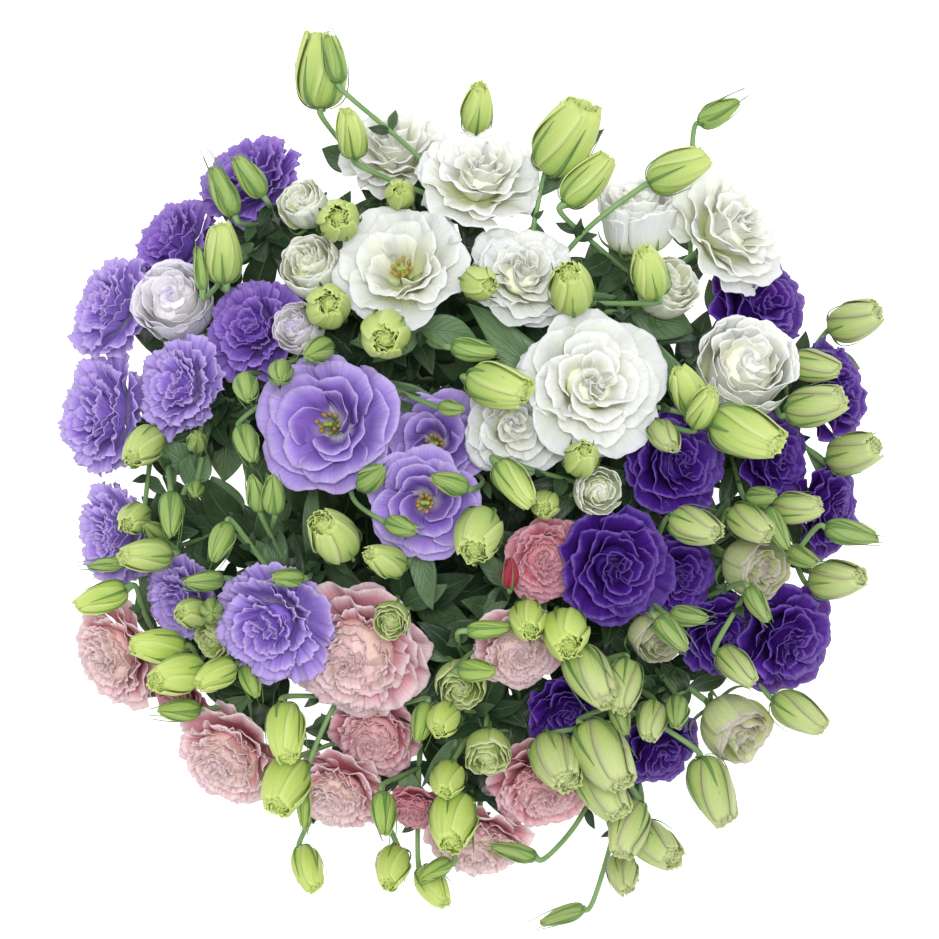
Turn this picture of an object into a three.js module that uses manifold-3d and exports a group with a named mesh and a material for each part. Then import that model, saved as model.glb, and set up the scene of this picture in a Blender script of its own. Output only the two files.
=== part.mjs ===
// A hand-tied bunch of cut lisianthus (Eustoma) that stands on its own spiralled stems.
// Fifteen leafy stems in four flower colours run through one twine tie. Each leafy stem is one
// solid: main stem, flower stalks, buds, half-open buds and leaves. Each open bloom is a solid
// of its own, seated on the calyx of its stalk.
// Millimetres, +Z up. The blooms are laid out as they are seen from straight above, +Y away.

import * as THREE from "three";
import Module from "manifold-3d";
import { mergeVertices } from "three/addons/utils/BufferGeometryUtils.js";

const wasm = await Module();
wasm.setup();

// ---- Driving dimensions ---------------------------------------------------------------------

const TIE_HEIGHT = 185; // where the stems cross
const DOME_TOP = 415; // middle of the topmost blooms
const DOME_DROP = 92; // how much lower the outermost blooms sit
const DOME_RADIUS = 200;
const RIM_TILT = 62; // degrees that a bloom at the rim leans outward
const TILT_POWER = 1.2; // how the lean grows from the middle to the rim
const BUD_LENGTH = [10, 1.35]; // shortest length of a bud: a base, and what its width adds

const STEM_RADIUS = 2.5;
const STALK_RADIUS = 1.6; // of a flower's stalk
const BUD_STALK_RADIUS = 1.3;
const STEM_SIDES = 5;
const STALK_SIDES = 3;
const SEAT_GAP = 0.3; // between a calyx and its bloom

// The stems cross the tie in two rings, which lean more the further out they are.
const INNER_RING = { radius: 4.8, slope: 0.2 };
const OUTER_RING = { radius: 10.2, slope: 0.36 };
const RING_TURN = 75; // degrees that a stem swings round between the tie and its fork
const FORK_LEVEL = 0.5; // height of a fork, as a share of the way from the tie to the blooms

const LEAF_THICKNESS = 1.6; // at the midrib
const WEIGHTS = { bloom: 0.3, opening: 0.5, bud: 0.7 }; // how readily each gives way to others
const CLEAR = 1.5; // room kept between a stalk and what it passes

// Colour and roughness of each material.
const COLOURS = {
  leaf: [0x5d8a3c, 0.6],
  white: [0xf1f2e4, 0.55],
  lilac_white: [0xdcd3e6, 0.55],
  lavender: [0x9273d6, 0.55],
  pink: [0xeba9b4, 0.55],
  purple: [0x3f1b96, 0.5],
  twine: [0xb9996b, 0.9],
};

// ---- What each stem carries -----------------------------------------------------------------
// blooms:  [x, y, radius, form, drop below the dome, facing azimuth, tilt]
// opening: [x, y, radius, drop below the dome], a half-open bud
// buds:    [heel x, heel y, tip x, tip y, width, height above the dome]
// leaves:  [heel x, heel y, tip x, tip y, width]

const STEMS = [
  {
    name: "white_1",
    ring: OUTER_RING,
    petals: "white",
    blooms: [
      [-36, 162, 27, "rose", 10],
      [3, 147, 29, "rose", 0],
    ],
    opening: [],
    buds: [
      [-74, 183, -75, 223, 22, 4],
      [-66, 195, -73, 219, 10, 22],
      [-57, 157, -62, 181, 13, 22],
      [3, 170, 5, 194, 14, -6],
      [-33, 132, -33, 136, 13, -4],
    ],
    leaves: [
      [-72, 138, -75, 162, 15],
      [-55, 136, -37, 138, 9],
    ],
  },
  {
    name: "white_2",
    ring: INNER_RING,
    petals: "white",
    blooms: [[-36, 102, 32, "open", 0]],
    opening: [
      [-76, 100, 18, 6],
      [-83, 132, 14, 2],
    ],
    buds: [
      [-65, 123, -65, 126, 18, 14],
      [-71, 80, -70, 83, 19, 14],
      [-42, 72, -42, 67, 21, 20],
      [-9, 61, 14, 58, 10, 16],
    ],
    leaves: [
      [-15, 60, -60, 63, 14],
      [-27, 38, -49, 54, 12],
      [-20, 80, 4, 66, 18],
    ],
  },
  {
    name: "white_3",
    ring: OUTER_RING,
    petals: "white",
    blooms: [
      [26, 97, 25, "rose", 4],
      [84, 124, 20, "goblet", 4, 92, 66],
      [127, 118, 31, "rose", 0, 35, 48],
    ],
    opening: [[98, 90, 18, 4]],
    buds: [
      [38, 150, 57, 184, 25, 12],
      [48, 133, 70, 158, 16, 16],
      [0, 95, 9, 93, 15, 14],
      [52, 82, 49, 99, 19, 16],
      [117, 175, 136, 187, 11, 16],
      [90, 143, 120, 158, 17, 30],
      [93, 87, 86, 111, 16, 26],
    ],
    leaves: [
      [56, 150, 67, 172, 13],
      [82, 58, 113, 70, 20],
      [42, 80, 74, 86, 12],
    ],
  },
  {
    name: "white_4",
    ring: INNER_RING,
    petals: "white",
    blooms: [
      [62, 42, 34, "rose", 0],
      [22, 20, 24, "rose", 12],
      [138, 48, 25, "goblet", 0, 60, 30],
    ],
    opening: [[62, -12, 14, -4]],
    buds: [
      [0, 45, 30, 38, 19, 18],
      [14, 3, 32, -18, 14, 10],
      [38, -16, 38, -20, 12, -4],
      [57, 0, 60, 8, 15, 14],
      [112, 22, 121, 40, 12, 26],
      [112, 28, 101, 50, 15, 10],
      [122, 24, 156, 12, 22, 22],
    ],
    leaves: [
      [36, 64, -2, 82, 20],
      [95, 55, 80, 73, 14],
    ],
  },
  {
    name: "lilac_1",
    ring: OUTER_RING,
    petals: "lavender",
    blooms: [
      [-112, 148, 25, "ruffle", 8],
      [-154, 112, 24, "ruffle", 4, 145, 62],
      [-145, 82, 20, "goblet", 4, 120, 30, "lilac_white"],
      [-111, 72, 24, "ruffle", 2],
    ],
    opening: [],
    buds: [
      [-104, 138, -118, 157, 11, 20],
      [-118, 128, -130, 152, 11, 20],
      [-123, 94, -126, 124, 16, 16],
      [-133, 90, -136, 112, 6, 24],
      [-113, 47, -110, 36, 11, 12],
    ],
    leaves: [
      [-98, 124, -118, 133, 16],
      [-91, 100, -117, 113, 14],
    ],
  },
  {
    name: "lilac_2",
    ring: OUTER_RING,
    petals: "lavender",
    blooms: [
      [-177, 80, 25, "ruffle", 2],
      [-187, 30, 28, "ruffle", 0],
      [-147, 42, 23, "ruffle", 0],
    ],
    opening: [],
    buds: [
      [-156, 22, -167, 9, 16, 12],
      [-137, 12, -136, 17, 9, 8],
      [-137, -8, -137, -13, 7, 6],
      [-150, -12, -149, -34, 11, 16],
      [-165, -22, -172, -28, 13, 12],
      [-155, -33, -163, -28, 8, 10],
    ],
    leaves: [
      [-136, -5, -160, 13, 18],
      [-128, -13, -133, 11, 17],
    ],
  },
  {
    name: "lilac_3",
    ring: INNER_RING,
    petals: "lavender",
    blooms: [
      [-72, 25, 34, "open", 0],
      [-22, -17, 27, "open", 0],
      [-16, 14, 25, "open", 20],
    ],
    opening: [[-90, 66, 15, -4]],
    buds: [
      [-114, 21, -108, 4, 11, 12],
      [-93, 50, -93, 43, 11, 10],
      [-71, 62, -81, 56, 11, 16],
      [-14, 31, -3, 30, 7, 18],
      [-53, -8, -43, 1, 11, 12],
      [-2, -9, -19, -4, 10, 20],
      [-40, -26, -26, -30, 9, 20],
      [-34, -48, -50, -41, 14, 6],
      [5, -24, 0, -41, 20, 14],
    ],
    leaves: [
      [-30, 42, 0, 21, 15],
      [-36, -55, -18, -70, 13],
    ],
  },
  {
    name: "lilac_4",
    ring: OUTER_RING,
    petals: "lavender",
    blooms: [
      [-181, -34, 24, "ruffle", 2, 190, 62],
      [-95, -76, 28, "ruffle", 0],
      [-146, -66, 20, "ruffle", 14],
    ],
    opening: [],
    buds: [
      [-150, -42, -175, -44, 14, 20],
      [-173, -46, -192, -48, 6, 14],
      [-121, -28, -128, -46, 11, 20],
      [-124, -55, -143, -57, 9, 16],
      [-133, -74, -143, -74, 13, 16],
      [-127, -71, -126, -73, 10, 20],
      [-104, -20, -108, -3, 9, 22],
      [-98, -21, -99, -3, 10, 24],
      [-84, -54, -98, -54, 8, 26],
      [-62, -40, -74, -26, 20, 10],
    ],
    leaves: [
      [-160, -47, -165, -63, 13],
      [-152, -50, -172, -77, 13],
      [-135, -46, -146, -57, 12],
      [-80, -42, -78, -3, 10],
      [-85, -44, -119, -33, 10],
    ],
  },
  {
    name: "pink_1",
    ring: OUTER_RING,
    petals: "pink",
    blooms: [
      [-180, -94, 26, "carnation", 2, 205, 55],
      [-122, -143, 28, "carnation", 2, 235, 50],
      [-147, -116, 15, "carnation", 14],
    ],
    opening: [[-125, -86, 13, -4]],
    buds: [
      [-173, -60, -199, -70, 13, 12],
      [-142, -88, -169, -88, 15, 18],
      [-135, -97, -158, -104, 17, 22],
      [-119, -98, -136, -108, 13, 22],
      [-136, -127, -156, -128, 10, 14],
      [-114, -97, -108, -112, 9, 10],
    ],
    leaves: [
      [-153, -108, -178, -113, 10],
      [-108, -108, -136, -132, 13],
      [-160, -105, -168, -92, 9],
    ],
  },
  {
    name: "pink_2",
    ring: OUTER_RING,
    petals: "pink",
    blooms: [
      [-60, -96, 33, "carnation", 0],
      [-67, -163, 24, "carnation", 4, 250, 52],
      [-50, -132, 22, "carnation", 14],
      [-27, -172, 14, "carnation", 10],
    ],
    opening: [[-40, -75, 11, -10]],
    buds: [
      [-21, -118, -25, -136, 10, 8],
      [-44, -163, -42, -184, 11, 12],
      [-37, -193, -41, -210, 15, 6],
      [-24, -203, -12, -220, 13, 0],
      [-93, -118, -91, -146, 17, 14],
      [-88, -148, -97, -171, 20, 12],
      [-85, -192, -78, -213, 13, 0],
      [-83, -163, -82, -182, 6, 12],
    ],
    leaves: [
      [-81, -148, -72, -167, 10],
      [-42, -153, -59, -163, 12],
      [-40, -148, -32, -165, 11],
    ],
  },
  {
    name: "pink_3",
    ring: INNER_RING,
    petals: "pink",
    blooms: [
      [40, -46, 20, "carnation", 8],
      [21, -91, 21, "carnation", 2],
      [35, -163, 27, "carnation", 2, 282, 48],
      [9, -188, 24, "carnation", 4, 268, 60],
    ],
    opening: [
      [-1, -108, 14, -6],
      [9, -141, 14, -4],
    ],
    buds: [
      [20, -58, 20, -44, 8, 18],
      [30, -72, 32, -82, 16, 14],
      [44, -75, 47, -88, 20, 16],
      [0, -80, 22, -78, 8, 26],
      [-4, -100, 13, -100, 10, 26],
      [-8, -115, -12, -125, 14, 8],
      [-10, -152, -12, -163, 15, 10],
      [-8, -165, -9, -187, 21, 14],
      [-8, -187, -22, -195, 8, 8],
    ],
    leaves: [
      [22, -60, 33, -30, 12],
      [20, -60, 4, -42, 12],
      [25, -60, 38, -78, 14],
      [12, -62, 3, -76, 11],
      [12, -12, 26, -40, 14],
      [-20, -97, -26, -116, 14],
      [-4, -96, -28, -92, 11],
      [0, -125, -25, -160, 8],
    ],
  },
  {
    name: "purple_1",
    ring: OUTER_RING,
    petals: "purple",
    blooms: [
      [150, 88, 27, "rose", 4, 25, 45],
      [184, 40, 25, "rose", 2, 8, 62],
      [155, 5, 22, "rose", 8],
    ],
    opening: [],
    buds: [
      [183, 70, 207, 80, 17, 4],
      [160, 53, 184, 50, 14, 16],
      [160, 28, 188, 37, 17, 18],
      [184, 0, 207, 8, 17, 4],
      [140, -14, 153, -13, 9, 16],
    ],
    leaves: [
      [186, 66, 199, 52, 9],
      [184, -1, 193, -15, 9],
    ],
  },
  {
    name: "purple_2",
    ring: INNER_RING,
    petals: "purple",
    blooms: [
      [73, -45, 28, "rose", 0],
      [104, 4, 25, "rose", 2],
      [106, -54, 20, "rose", 14],
    ],
    opening: [[88, -83, 15, -2]],
    buds: [
      [88, 24, 97, 13, 12, 14],
      [102, -25, 124, -32, 16, 18],
      [92, -75, 107, -90, 10, 24],
      [100, -72, 118, -74, 9, 20],
    ],
    leaves: [
      [105, -70, 120, -50, 6],
      [103, -32, 104, -46, 8],
    ],
  },
  {
    name: "purple_3",
    ring: OUTER_RING,
    petals: "purple",
    blooms: [
      [178, -18, 23, "rose", 4, -8, 58],
      [160, -86, 27, "rose", 0, -28, 45],
      [125, -82, 21, "rose", 14],
    ],
    opening: [[140, -48, 19, -2]],
    buds: [
      [153, -20, 177, -18, 14, 16],
      [132, -22, 150, -33, 15, 14],
      [148, -20, 160, -40, 10, 28],
      [180, -28, 207, -33, 11, 16],
      [160, -41, 175, -47, 9, 10],
      [140, -60, 150, -76, 9, 28],
      [172, -60, 197, -57, 17, 8],
      [126, -91, 143, -107, 13, 16],
      [154, -110, 180, -126, 16, 8],
    ],
    leaves: [[174, -64, 183, -78, 9]],
  },
  {
    name: "purple_4",
    ring: OUTER_RING,
    petals: "purple",
    blooms: [
      [50, -121, 20, "rose", 14],
      [97, -142, 22, "rose", 10],
    ],
    opening: [[130, -130, 20, -2]],
    buds: [
      [33, -194, 10, -189, 8, 20],
      [58, -223, 36, -231, 8, 0],
      [42, -134, 54, -155, 20, 12],
      [55, -128, 75, -158, 23, 20],
      [50, -152, 68, -178, 19, 10],
      [52, -90, 72, -118, 19, 16],
      [82, -95, 80, -120, 16, 16],
      [72, -118, 77, -134, 9, 18],
      [115, -145, 130, -180, 19, 8],
      [92, -118, 90, -135, 13, 18],
      [104, -116, 104, -129, 11, 18],
      [82, -165, 75, -192, 17, 12],
      [84, -182, 104, -197, 17, 4],
      [76, -197, 80, -214, 14, -2],
    ],
    leaves: [[82, -150, 87, -174, 9]],
  },
];

// Profile of each flower form as [radius, height] in multiples of the bloom's radius, from the
// seat on the calyx, up the outer petals, then over each layer of petals to the middle.
// rims lists the points that are petal edges. balls are [ring radius, height, ball radius],
// which fill the form when blooms and buds are packed together.
const LAYERED_BALLS = [[0, 0.38, 0.44], [0.72, 0.52, 0.34]];
const FORMS = {
  rose: {
    profile: [[0.16, 0], [1, 0.52], [0.76, 0.44], [0.66, 0.74], [0.46, 0.56], [0.36, 0.8], [0, 0.66]],
    rims: [1, 3, 5],
    middle: 0.42,
    balls: LAYERED_BALLS,
  },
  ruffle: {
    profile: [[0.16, 0], [1, 0.58], [0.78, 0.5], [0.68, 0.72], [0.5, 0.54], [0.4, 0.74], [0, 0.58]],
    rims: [1, 3, 5],
    middle: 0.42,
    balls: LAYERED_BALLS,
  },
  carnation: {
    profile: [[0.16, 0], [1, 0.48], [0.8, 0.46], [0.7, 0.7], [0.54, 0.62], [0.42, 0.86], [0, 0.8]],
    rims: [1, 3, 5],
    middle: 0.42,
    balls: LAYERED_BALLS,
  },
  open: {
    profile: [[0.14, 0], [1, 0.54], [0.78, 0.44], [0.66, 0.62], [0.46, 0.4], [0.34, 0.44], [0, 0.22]],
    rims: [1, 3],
    middle: 0.42,
    balls: LAYERED_BALLS,
  },
  goblet: {
    profile: [
      [0.22, 0], [0.8, 0.5], [0.96, 1.4], [0.78, 1.3], [0.68, 1.62], [0.48, 1.44], [0.36, 1.66], [0, 1.5],
    ],
    rims: [2, 4, 6],
    middle: 0.8,
    balls: [[0, 0.55, 0.72], [0, 1.1, 0.94]],
  },
  opening: {
    profile: [[0.2, 0.1], [0.82, 0.62], [0.84, 1.3], [0.6, 1.2], [0.44, 1.5], [0, 1.3]],
    rims: [2, 4],
    middle: 0.8,
    balls: [[0, 0.55, 0.7], [0, 1.05, 0.8]],
  },
};
const PETALS = 5; // in each layer
const LOBE_REACH = 0.08; // how far a petal's middle stands out, as a share of the radius
const LOBE_LIFT = 0.05;

// ---- Vectors --------------------------------------------------------------------------------

const V = (x = 0, y = 0, z = 0) => new THREE.Vector3(x, y, z);
const mix = (a, b, t) => a.clone().lerp(b, t);
const along = (start, way, distance) => start.clone().addScaledVector(way, distance);
const degrees = THREE.MathUtils.degToRad;

// A unit vector that leans by tilt from straight up, towards azimuth.
function leaning(azimuth, tilt) {
  return V(Math.sin(tilt) * Math.cos(azimuth), Math.sin(tilt) * Math.sin(azimuth), Math.cos(tilt));
}

// Two unit vectors square to the axis, the first one as near to reference as can be.
function squareTo(axis, reference = V(1, 0, 0)) {
  const side = along(reference, axis, -reference.dot(axis));
  if (side.lengthSq() < 0.01) side.set(0, 1, 0).addScaledVector(axis, -axis.y);
  side.normalize();
  return [side, axis.clone().cross(side)];
}

// Points evenly spaced on a circle around the axis.
function ringAround(centre, axis, radius, sides, reference) {
  const [side, other] = squareTo(axis, reference);
  return Array.from({ length: sides }, (_, j) => {
    const angle = (2 * Math.PI * j) / sides;
    return along(along(centre, side, radius * Math.cos(angle)), other, radius * Math.sin(angle));
  });
}

// ---- Where the flowers are ------------------------------------------------------------------

const domeHeight = (x, y) => DOME_TOP - (DOME_DROP * (x * x + y * y)) / DOME_RADIUS ** 2;

function outwardTilt(x, y) {
  return degrees(RIM_TILT) * (Math.hypot(x, y) / DOME_RADIUS) ** TILT_POWER;
}

// A flower as balls: each row of rings is one ball on the axis, or a ring of them around it.
const BALLS_AROUND = 10;
function ballsAlong(axis, rings, scale) {
  return rings.flatMap(([ring, height, radius]) => {
    const centre = axis.clone().multiplyScalar(height * scale);
    const offsets = ringAround(centre, axis, ring * scale, ring > 0 ? BALLS_AROUND : 1);
    return offsets.map((offset) => ({ offset, radius: radius * scale }));
  });
}

// Room for the end of the stalk, below the seat.
const STALK_ROOM = [-4, -9, -14];
function withRoom(item) {
  const stalk = STALK_ROOM.map((height) => {
    return { offset: item.axis.clone().multiplyScalar(height), radius: STALK_RADIUS };
  });
  const room = [...item.balls, ...stalk];
  return { ...item, room, reach: Math.max(...room.map((ball) => ball.offset.length() + ball.radius)) };
}

function bloomItem([x, y, radius, form, drop, azimuth, tilt, petals]) {
  const facing = azimuth === undefined ? Math.atan2(y, x) : degrees(azimuth);
  const axis = leaning(facing, tilt === undefined ? outwardTilt(x, y) : degrees(tilt));
  const seat = along(V(x, y, domeHeight(x, y) - drop), axis, -FORMS[form].middle * radius);
  const balls = ballsAlong(axis, FORMS[form].balls, radius);
  return withRoom({ kind: "bloom", seat, axis, radius, form, petals, balls, weight: WEIGHTS.bloom });
}

function openingItem([x, y, radius, drop]) {
  return { ...bloomItem([x, y, radius, "opening", drop]), kind: "opening", weight: WEIGHTS.opening };
}

// A bud's length follows its width. Where the view from above shows it shorter, it points up.
const BUD_BALLS = [[0.34, 0.52], [0.62, 0.44], [0.88, 0.28]];
function budItem([x, y, tipX, tipY, width, lift]) {
  const seen = Math.hypot(tipX - x, tipY - y);
  const length = Math.max(seen, BUD_LENGTH[0] + BUD_LENGTH[1] * width);
  const axis = V(tipX - x, tipY - y, Math.sqrt(length ** 2 - seen ** 2)).normalize();
  const seat = V(x, y, domeHeight(x, y) + lift);
  const balls = BUD_BALLS.map(([share, radius]) => ({
    offset: axis.clone().multiplyScalar(share * length),
    radius: radius * width,
  }));
  return withRoom({ kind: "bud", seat, axis, width, length, balls, weight: WEIGHTS.bud });
}

// Pushes blooms and buds apart until none touches another, mostly up or down, so that each
// stays where it is seen from above. The pull back to its own place fades out on the way.
const SETTLE_ROUNDS = 200;
const SETTLE_GAP = 1.1;
const SETTLE_STEP = 0.6;
const SIDEWAYS = 0.55;
const HOME_PULL = 0.06;
const PULL_END = 0.6; // as a share of the rounds

function settle(items) {
  const home = items.map((item) => item.seat.clone());
  for (let round = 0; round < SETTLE_ROUNDS; round++) {
    const push = items.map(() => V());
    for (let i = 0; i < items.length; i++) {
      for (let j = i + 1; j < items.length; j++) {
        const step = wayApart(items[i], items[j]);
        if (!step) continue;
        const total = items[i].weight + items[j].weight;
        push[i].addScaledVector(step, items[i].weight / total);
        push[j].addScaledVector(step, -items[j].weight / total);
      }
    }
    const pull = HOME_PULL * Math.max(0, 1 - round / (PULL_END * SETTLE_ROUNDS));
    items.forEach((item, i) => item.seat.addScaledVector(push[i], SETTLE_STEP).lerp(home[i], pull));
  }
}

// How far and which way a has to move to leave b, or null where they are clear.
function wayApart(a, b) {
  if (a.seat.distanceTo(b.seat) > a.reach + b.reach + SETTLE_GAP) return null;
  const between = a.seat.clone().sub(b.seat);
  let deepest = 0;
  let way = null;
  for (const p of a.room) {
    const from = p.offset.clone().add(between);
    for (const q of b.room) {
      const depth = p.radius + q.radius + SETTLE_GAP - from.distanceTo(q.offset);
      if (depth <= deepest) continue;
      deepest = depth;
      way = from.clone().sub(q.offset);
    }
  }
  if (!way) return null;
  return V(way.x * SIDEWAYS, way.y * SIDEWAYS, way.z).setLength(deepest);
}

// ---- The ways of stems and stalks -----------------------------------------------------------

// What later stalks and leaves keep clear of, as balls: {item or stem, point, radius}.
const taken = [];
const TAKEN_STEP = 5;

function takePath(points, radius, stem) {
  for (let i = 0; i < points.length - 1; i++) {
    const steps = Math.ceil(points[i].distanceTo(points[i + 1]) / TAKEN_STEP);
    for (let k = 0; k < steps; k++) {
      taken.push({ stem, point: mix(points[i], points[i + 1], k / steps), radius });
    }
  }
}

const BEND_REACH = 30;
const ROOT_REACH = 14; // within which a stalk may touch its own stem
function inTheWay(points, stem, item) {
  const [start, end] = [points[0], points.at(-1)];
  const middle = mix(start, end, 0.5);
  const reach = 0.5 * start.distanceTo(end) + BEND_REACH;
  return taken.filter((t) => {
    const own = t.item ? t.item === item : t.stem === stem && t.point.distanceTo(start) < ROOT_REACH;
    return !own && t.point.distanceTo(middle) < reach + t.radius;
  });
}

// Bends the inner points of a stalk out of whatever lies in their way, a little each time.
// Returns how deep the stalk lay in it, added up.
const BEND_SPOTS = [0.2, 0.4, 0.6, 0.8, 1];
const BEND_SMOOTHING = 0.04;
function bendOnce(points, radius, others) {
  const push = points.map(() => V());
  let blocked = 0;
  for (let i = 0; i < points.length - 1; i++) {
    for (const t of BEND_SPOTS) {
      const spot = mix(points[i], points[i + 1], t);
      for (const other of others) {
        const depth = radius + CLEAR + other.radius - spot.distanceTo(other.point);
        if (depth <= 0) continue;
        blocked += depth;
        const step = spot.clone().sub(other.point).setLength(0.5 * depth);
        push[i].addScaledVector(step, 1 - t);
        push[i + 1].addScaledVector(step, t);
      }
    }
  }
  for (let i = 1; i < points.length - 1; i++) {
    points[i].add(push[i]).lerp(mix(points[i - 1], points[i + 1], 0.5), BEND_SMOOTHING);
  }
  return blocked;
}

// The clearest of several ways to the same flower, each one bent clear.
const BEND_ROUNDS = 50;
const WAYS_BENT = 10; // of the ways that start out clearest
const COST = { perLength: 0.05, perBend: 2, first: 0.01 };
function clearestWay(ways, radius, stem, item) {
  const tried = ways.map((points) => {
    const others = inTheWay(points, stem, item);
    const length = points.slice(1).reduce((sum, point, i) => sum + point.distanceTo(points[i]), 0);
    const cost = COST.perLength * length + COST.perBend * points.length + bendOnce(points, radius, others);
    return { points, others, cost };
  });
  tried.sort((a, b) => a.cost - b.cost);
  const bent = tried.slice(0, WAYS_BENT);
  for (const way of bent) {
    let blocked = 0;
    for (let round = 0; round < BEND_ROUNDS; round++) blocked = bendOnce(way.points, radius, way.others);
    way.cost = COST.first * way.cost + blocked;
  }
  bent.sort((a, b) => a.cost - b.cost);
  return bent[0].points;
}

// A stem forks on the way from the tie to the middle of its flowers.
function forkStem(stem) {
  const middle = V();
  for (const item of stem.heads) middle.addScaledVector(item.seat, 1 / stem.heads.length);
  stem.fork = mix(V(0, 0, TIE_HEIGHT), middle, FORK_LEVEL);
  stem.towards = middle.sub(stem.fork).normalize();
}

// Gives the stems of one ring evenly spaced places in the tie, in the order of their forks.
function placeInTie(stems) {
  const azimuth = (stem) => Math.atan2(stem.fork.y, stem.fork.x);
  const ordered = [...stems].sort((a, b) => azimuth(a) - azimuth(b));
  const step = (2 * Math.PI) / ordered.length;
  const first = ordered.reduce((sum, stem, i) => sum + azimuth(stem) - i * step, 0) / ordered.length;
  ordered.forEach((stem, i) => {
    stem.slot = first + i * step - degrees(RING_TURN);
  });
}

function bezier(a, b, c, d, steps) {
  return new THREE.CubicBezierCurve3(a, b, c, d).getPoints(steps);
}

// A main stem runs straight from its cut end through the tie, then curves out to its fork.
const MAIN_STEPS = 3;
const MAIN_LEADS = [0.4, 0.3]; // how long it keeps its way at the tie and at the fork
const FOOT_SPARE = 6; // cut off level with the ground
function mainStem({ ring, slot, fork, towards }) {
  const waist = V(ring.radius * Math.cos(slot), ring.radius * Math.sin(slot), TIE_HEIGHT);
  const climb = V(-ring.slope * Math.sin(slot), ring.slope * Math.cos(slot), 1);
  const foot = along(waist, climb, -TIE_HEIGHT - FOOT_SPARE);
  const reach = fork.distanceTo(waist);
  const lead = along(waist, climb.normalize(), MAIN_LEADS[0] * reach);
  const follow = along(fork, towards, -MAIN_LEADS[1] * reach);
  return [foot, ...bezier(waist, lead, follow, fork, MAIN_STEPS)];
}

// A stalk leaves start along way, and reaches the flower straight along the flower's own axis.
const NECK = 5; // the length of a calyx
const STALK_LEADS = [0.35, 0.3];
function stalkTo(item, start, way, steps) {
  const reach = start.distanceTo(item.seat);
  const neck = along(item.seat, item.axis, -NECK);
  const lead = along(start, way, STALK_LEADS[0] * reach);
  const follow = along(neck, item.axis, -STALK_LEADS[1] * reach);
  return bezier(start, lead, follow, neck, steps);
}

// Two branches never leave a stem at the same place.
const BRANCH_SPACING = 4.5;
function freeStarts(stem, starts) {
  const free = starts.filter(({ point }) => {
    return stem.branchPoints.every((other) => other.distanceTo(point) > BRANCH_SPACING);
  });
  return free.length ? free : starts;
}

function growBranch(stem, item, starts, steps, radius) {
  const ways = freeStarts(stem, starts).flatMap(({ point, way }) => {
    return [stalkTo(item, point, way, steps), stalkTo(item, point, way, steps + 1)];
  });
  item.stalk = clearestWay(ways, radius, stem, item);
  stem.branchPoints.push(item.stalk[0]);
  takePath(item.stalk, radius, stem);
}

function startsBetween(from, to, shares) {
  const way = to.clone().sub(from).normalize();
  return shares.map((share) => ({ point: mix(from, to, share), way }));
}

// The first flower ends the main stem. The others leave it somewhere below the fork.
const HEAD_STEPS = 3;
const HEAD_SHARES = [0.8, 0.65, 0.5, 0.35, 0.2];
function routeHead(stem, item) {
  const shares = item === stem.heads[0] ? [1] : HEAD_SHARES;
  const [before, fork] = stem.main.slice(-2);
  growBranch(stem, item, startsBetween(before, fork, shares), HEAD_STEPS, STALK_RADIUS);
}

// A bud's stalk leaves the stalk of one of the flowers on the same stem.
const BUD_STEPS = 2;
const BUD_SHARES = [0.25, 0.4, 0.55, 0.7];
function routeBud(stem, bud) {
  const starts = stem.heads.flatMap(({ stalk }) => {
    return stalk.slice(1).flatMap((end, i) => startsBetween(stalk[i], end, BUD_SHARES));
  });
  growBranch(stem, bud, starts, BUD_STEPS, BUD_STALK_RADIUS);
}

// ---- Leaves ---------------------------------------------------------------------------------

// The clearest of a few rises from heel to tip, for a leaf whose tip is seen at (x, y).
const LEAF_SPOTS = [0.3, 0.5, 0.7, 0.9];
const LEAF_SPREADS = [-0.4, 0, 0.4];
const LEAF_CLEARER = 0.01; // by how much a later rise has to be clearer
function clearestLeaf(stem, heel, x, y, width, rises) {
  const seen = Math.hypot(x - heel.x, y - heel.y);
  const across = V(y - heel.y, heel.x - x, 0).normalize();
  const others = taken.filter((t) => t.item || t.stem !== stem);
  let best = null;
  for (const rise of rises) {
    const tip = V(x, y, heel.z + seen * Math.tan(degrees(rise)));
    const spots = LEAF_SPOTS.flatMap((share) => {
      return LEAF_SPREADS.map((spread) => along(mix(heel, tip, share), across, spread * width));
    });
    spots.push(tip);
    let blocked = 0;
    for (const spot of spots) {
      for (const other of others) {
        blocked += Math.max(0, LEAF_THICKNESS + other.radius - spot.distanceTo(other.point));
      }
    }
    if (!best || blocked < best.blocked - LEAF_CLEARER) best = { heel, tip, width, spots, blocked };
  }
  for (const point of best.spots) taken.push({ stem, point, radius: LEAF_THICKNESS });
  return best;
}

// A leaf among the flowers grows from the nearest point of its own stem's stalks.
const LEAF_RISES = [0, 12, -12, 24, -24, 36, -36, 50, -50];
const LEAF_DEPTH = 34; // below the dome of flowers
const LEAF_JOINTS = [0, 0.25, 0.5, 0.75];
function upperLeaf(stem, [heelX, heelY, tipX, tipY, width]) {
  const want = V(heelX, heelY, domeHeight(heelX, heelY) - LEAF_DEPTH);
  const spots = [...stem.heads, ...stem.budItems].flatMap(({ stalk }) => {
    return stalk.slice(1).flatMap((end, i) => LEAF_JOINTS.map((share) => mix(stalk[i], end, share)));
  });
  const heel = spots.reduce((a, b) => (b.distanceTo(want) < a.distanceTo(want) ? b : a));
  return clearestLeaf(stem, heel, tipX, tipY, width, LEAF_RISES);
}

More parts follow.
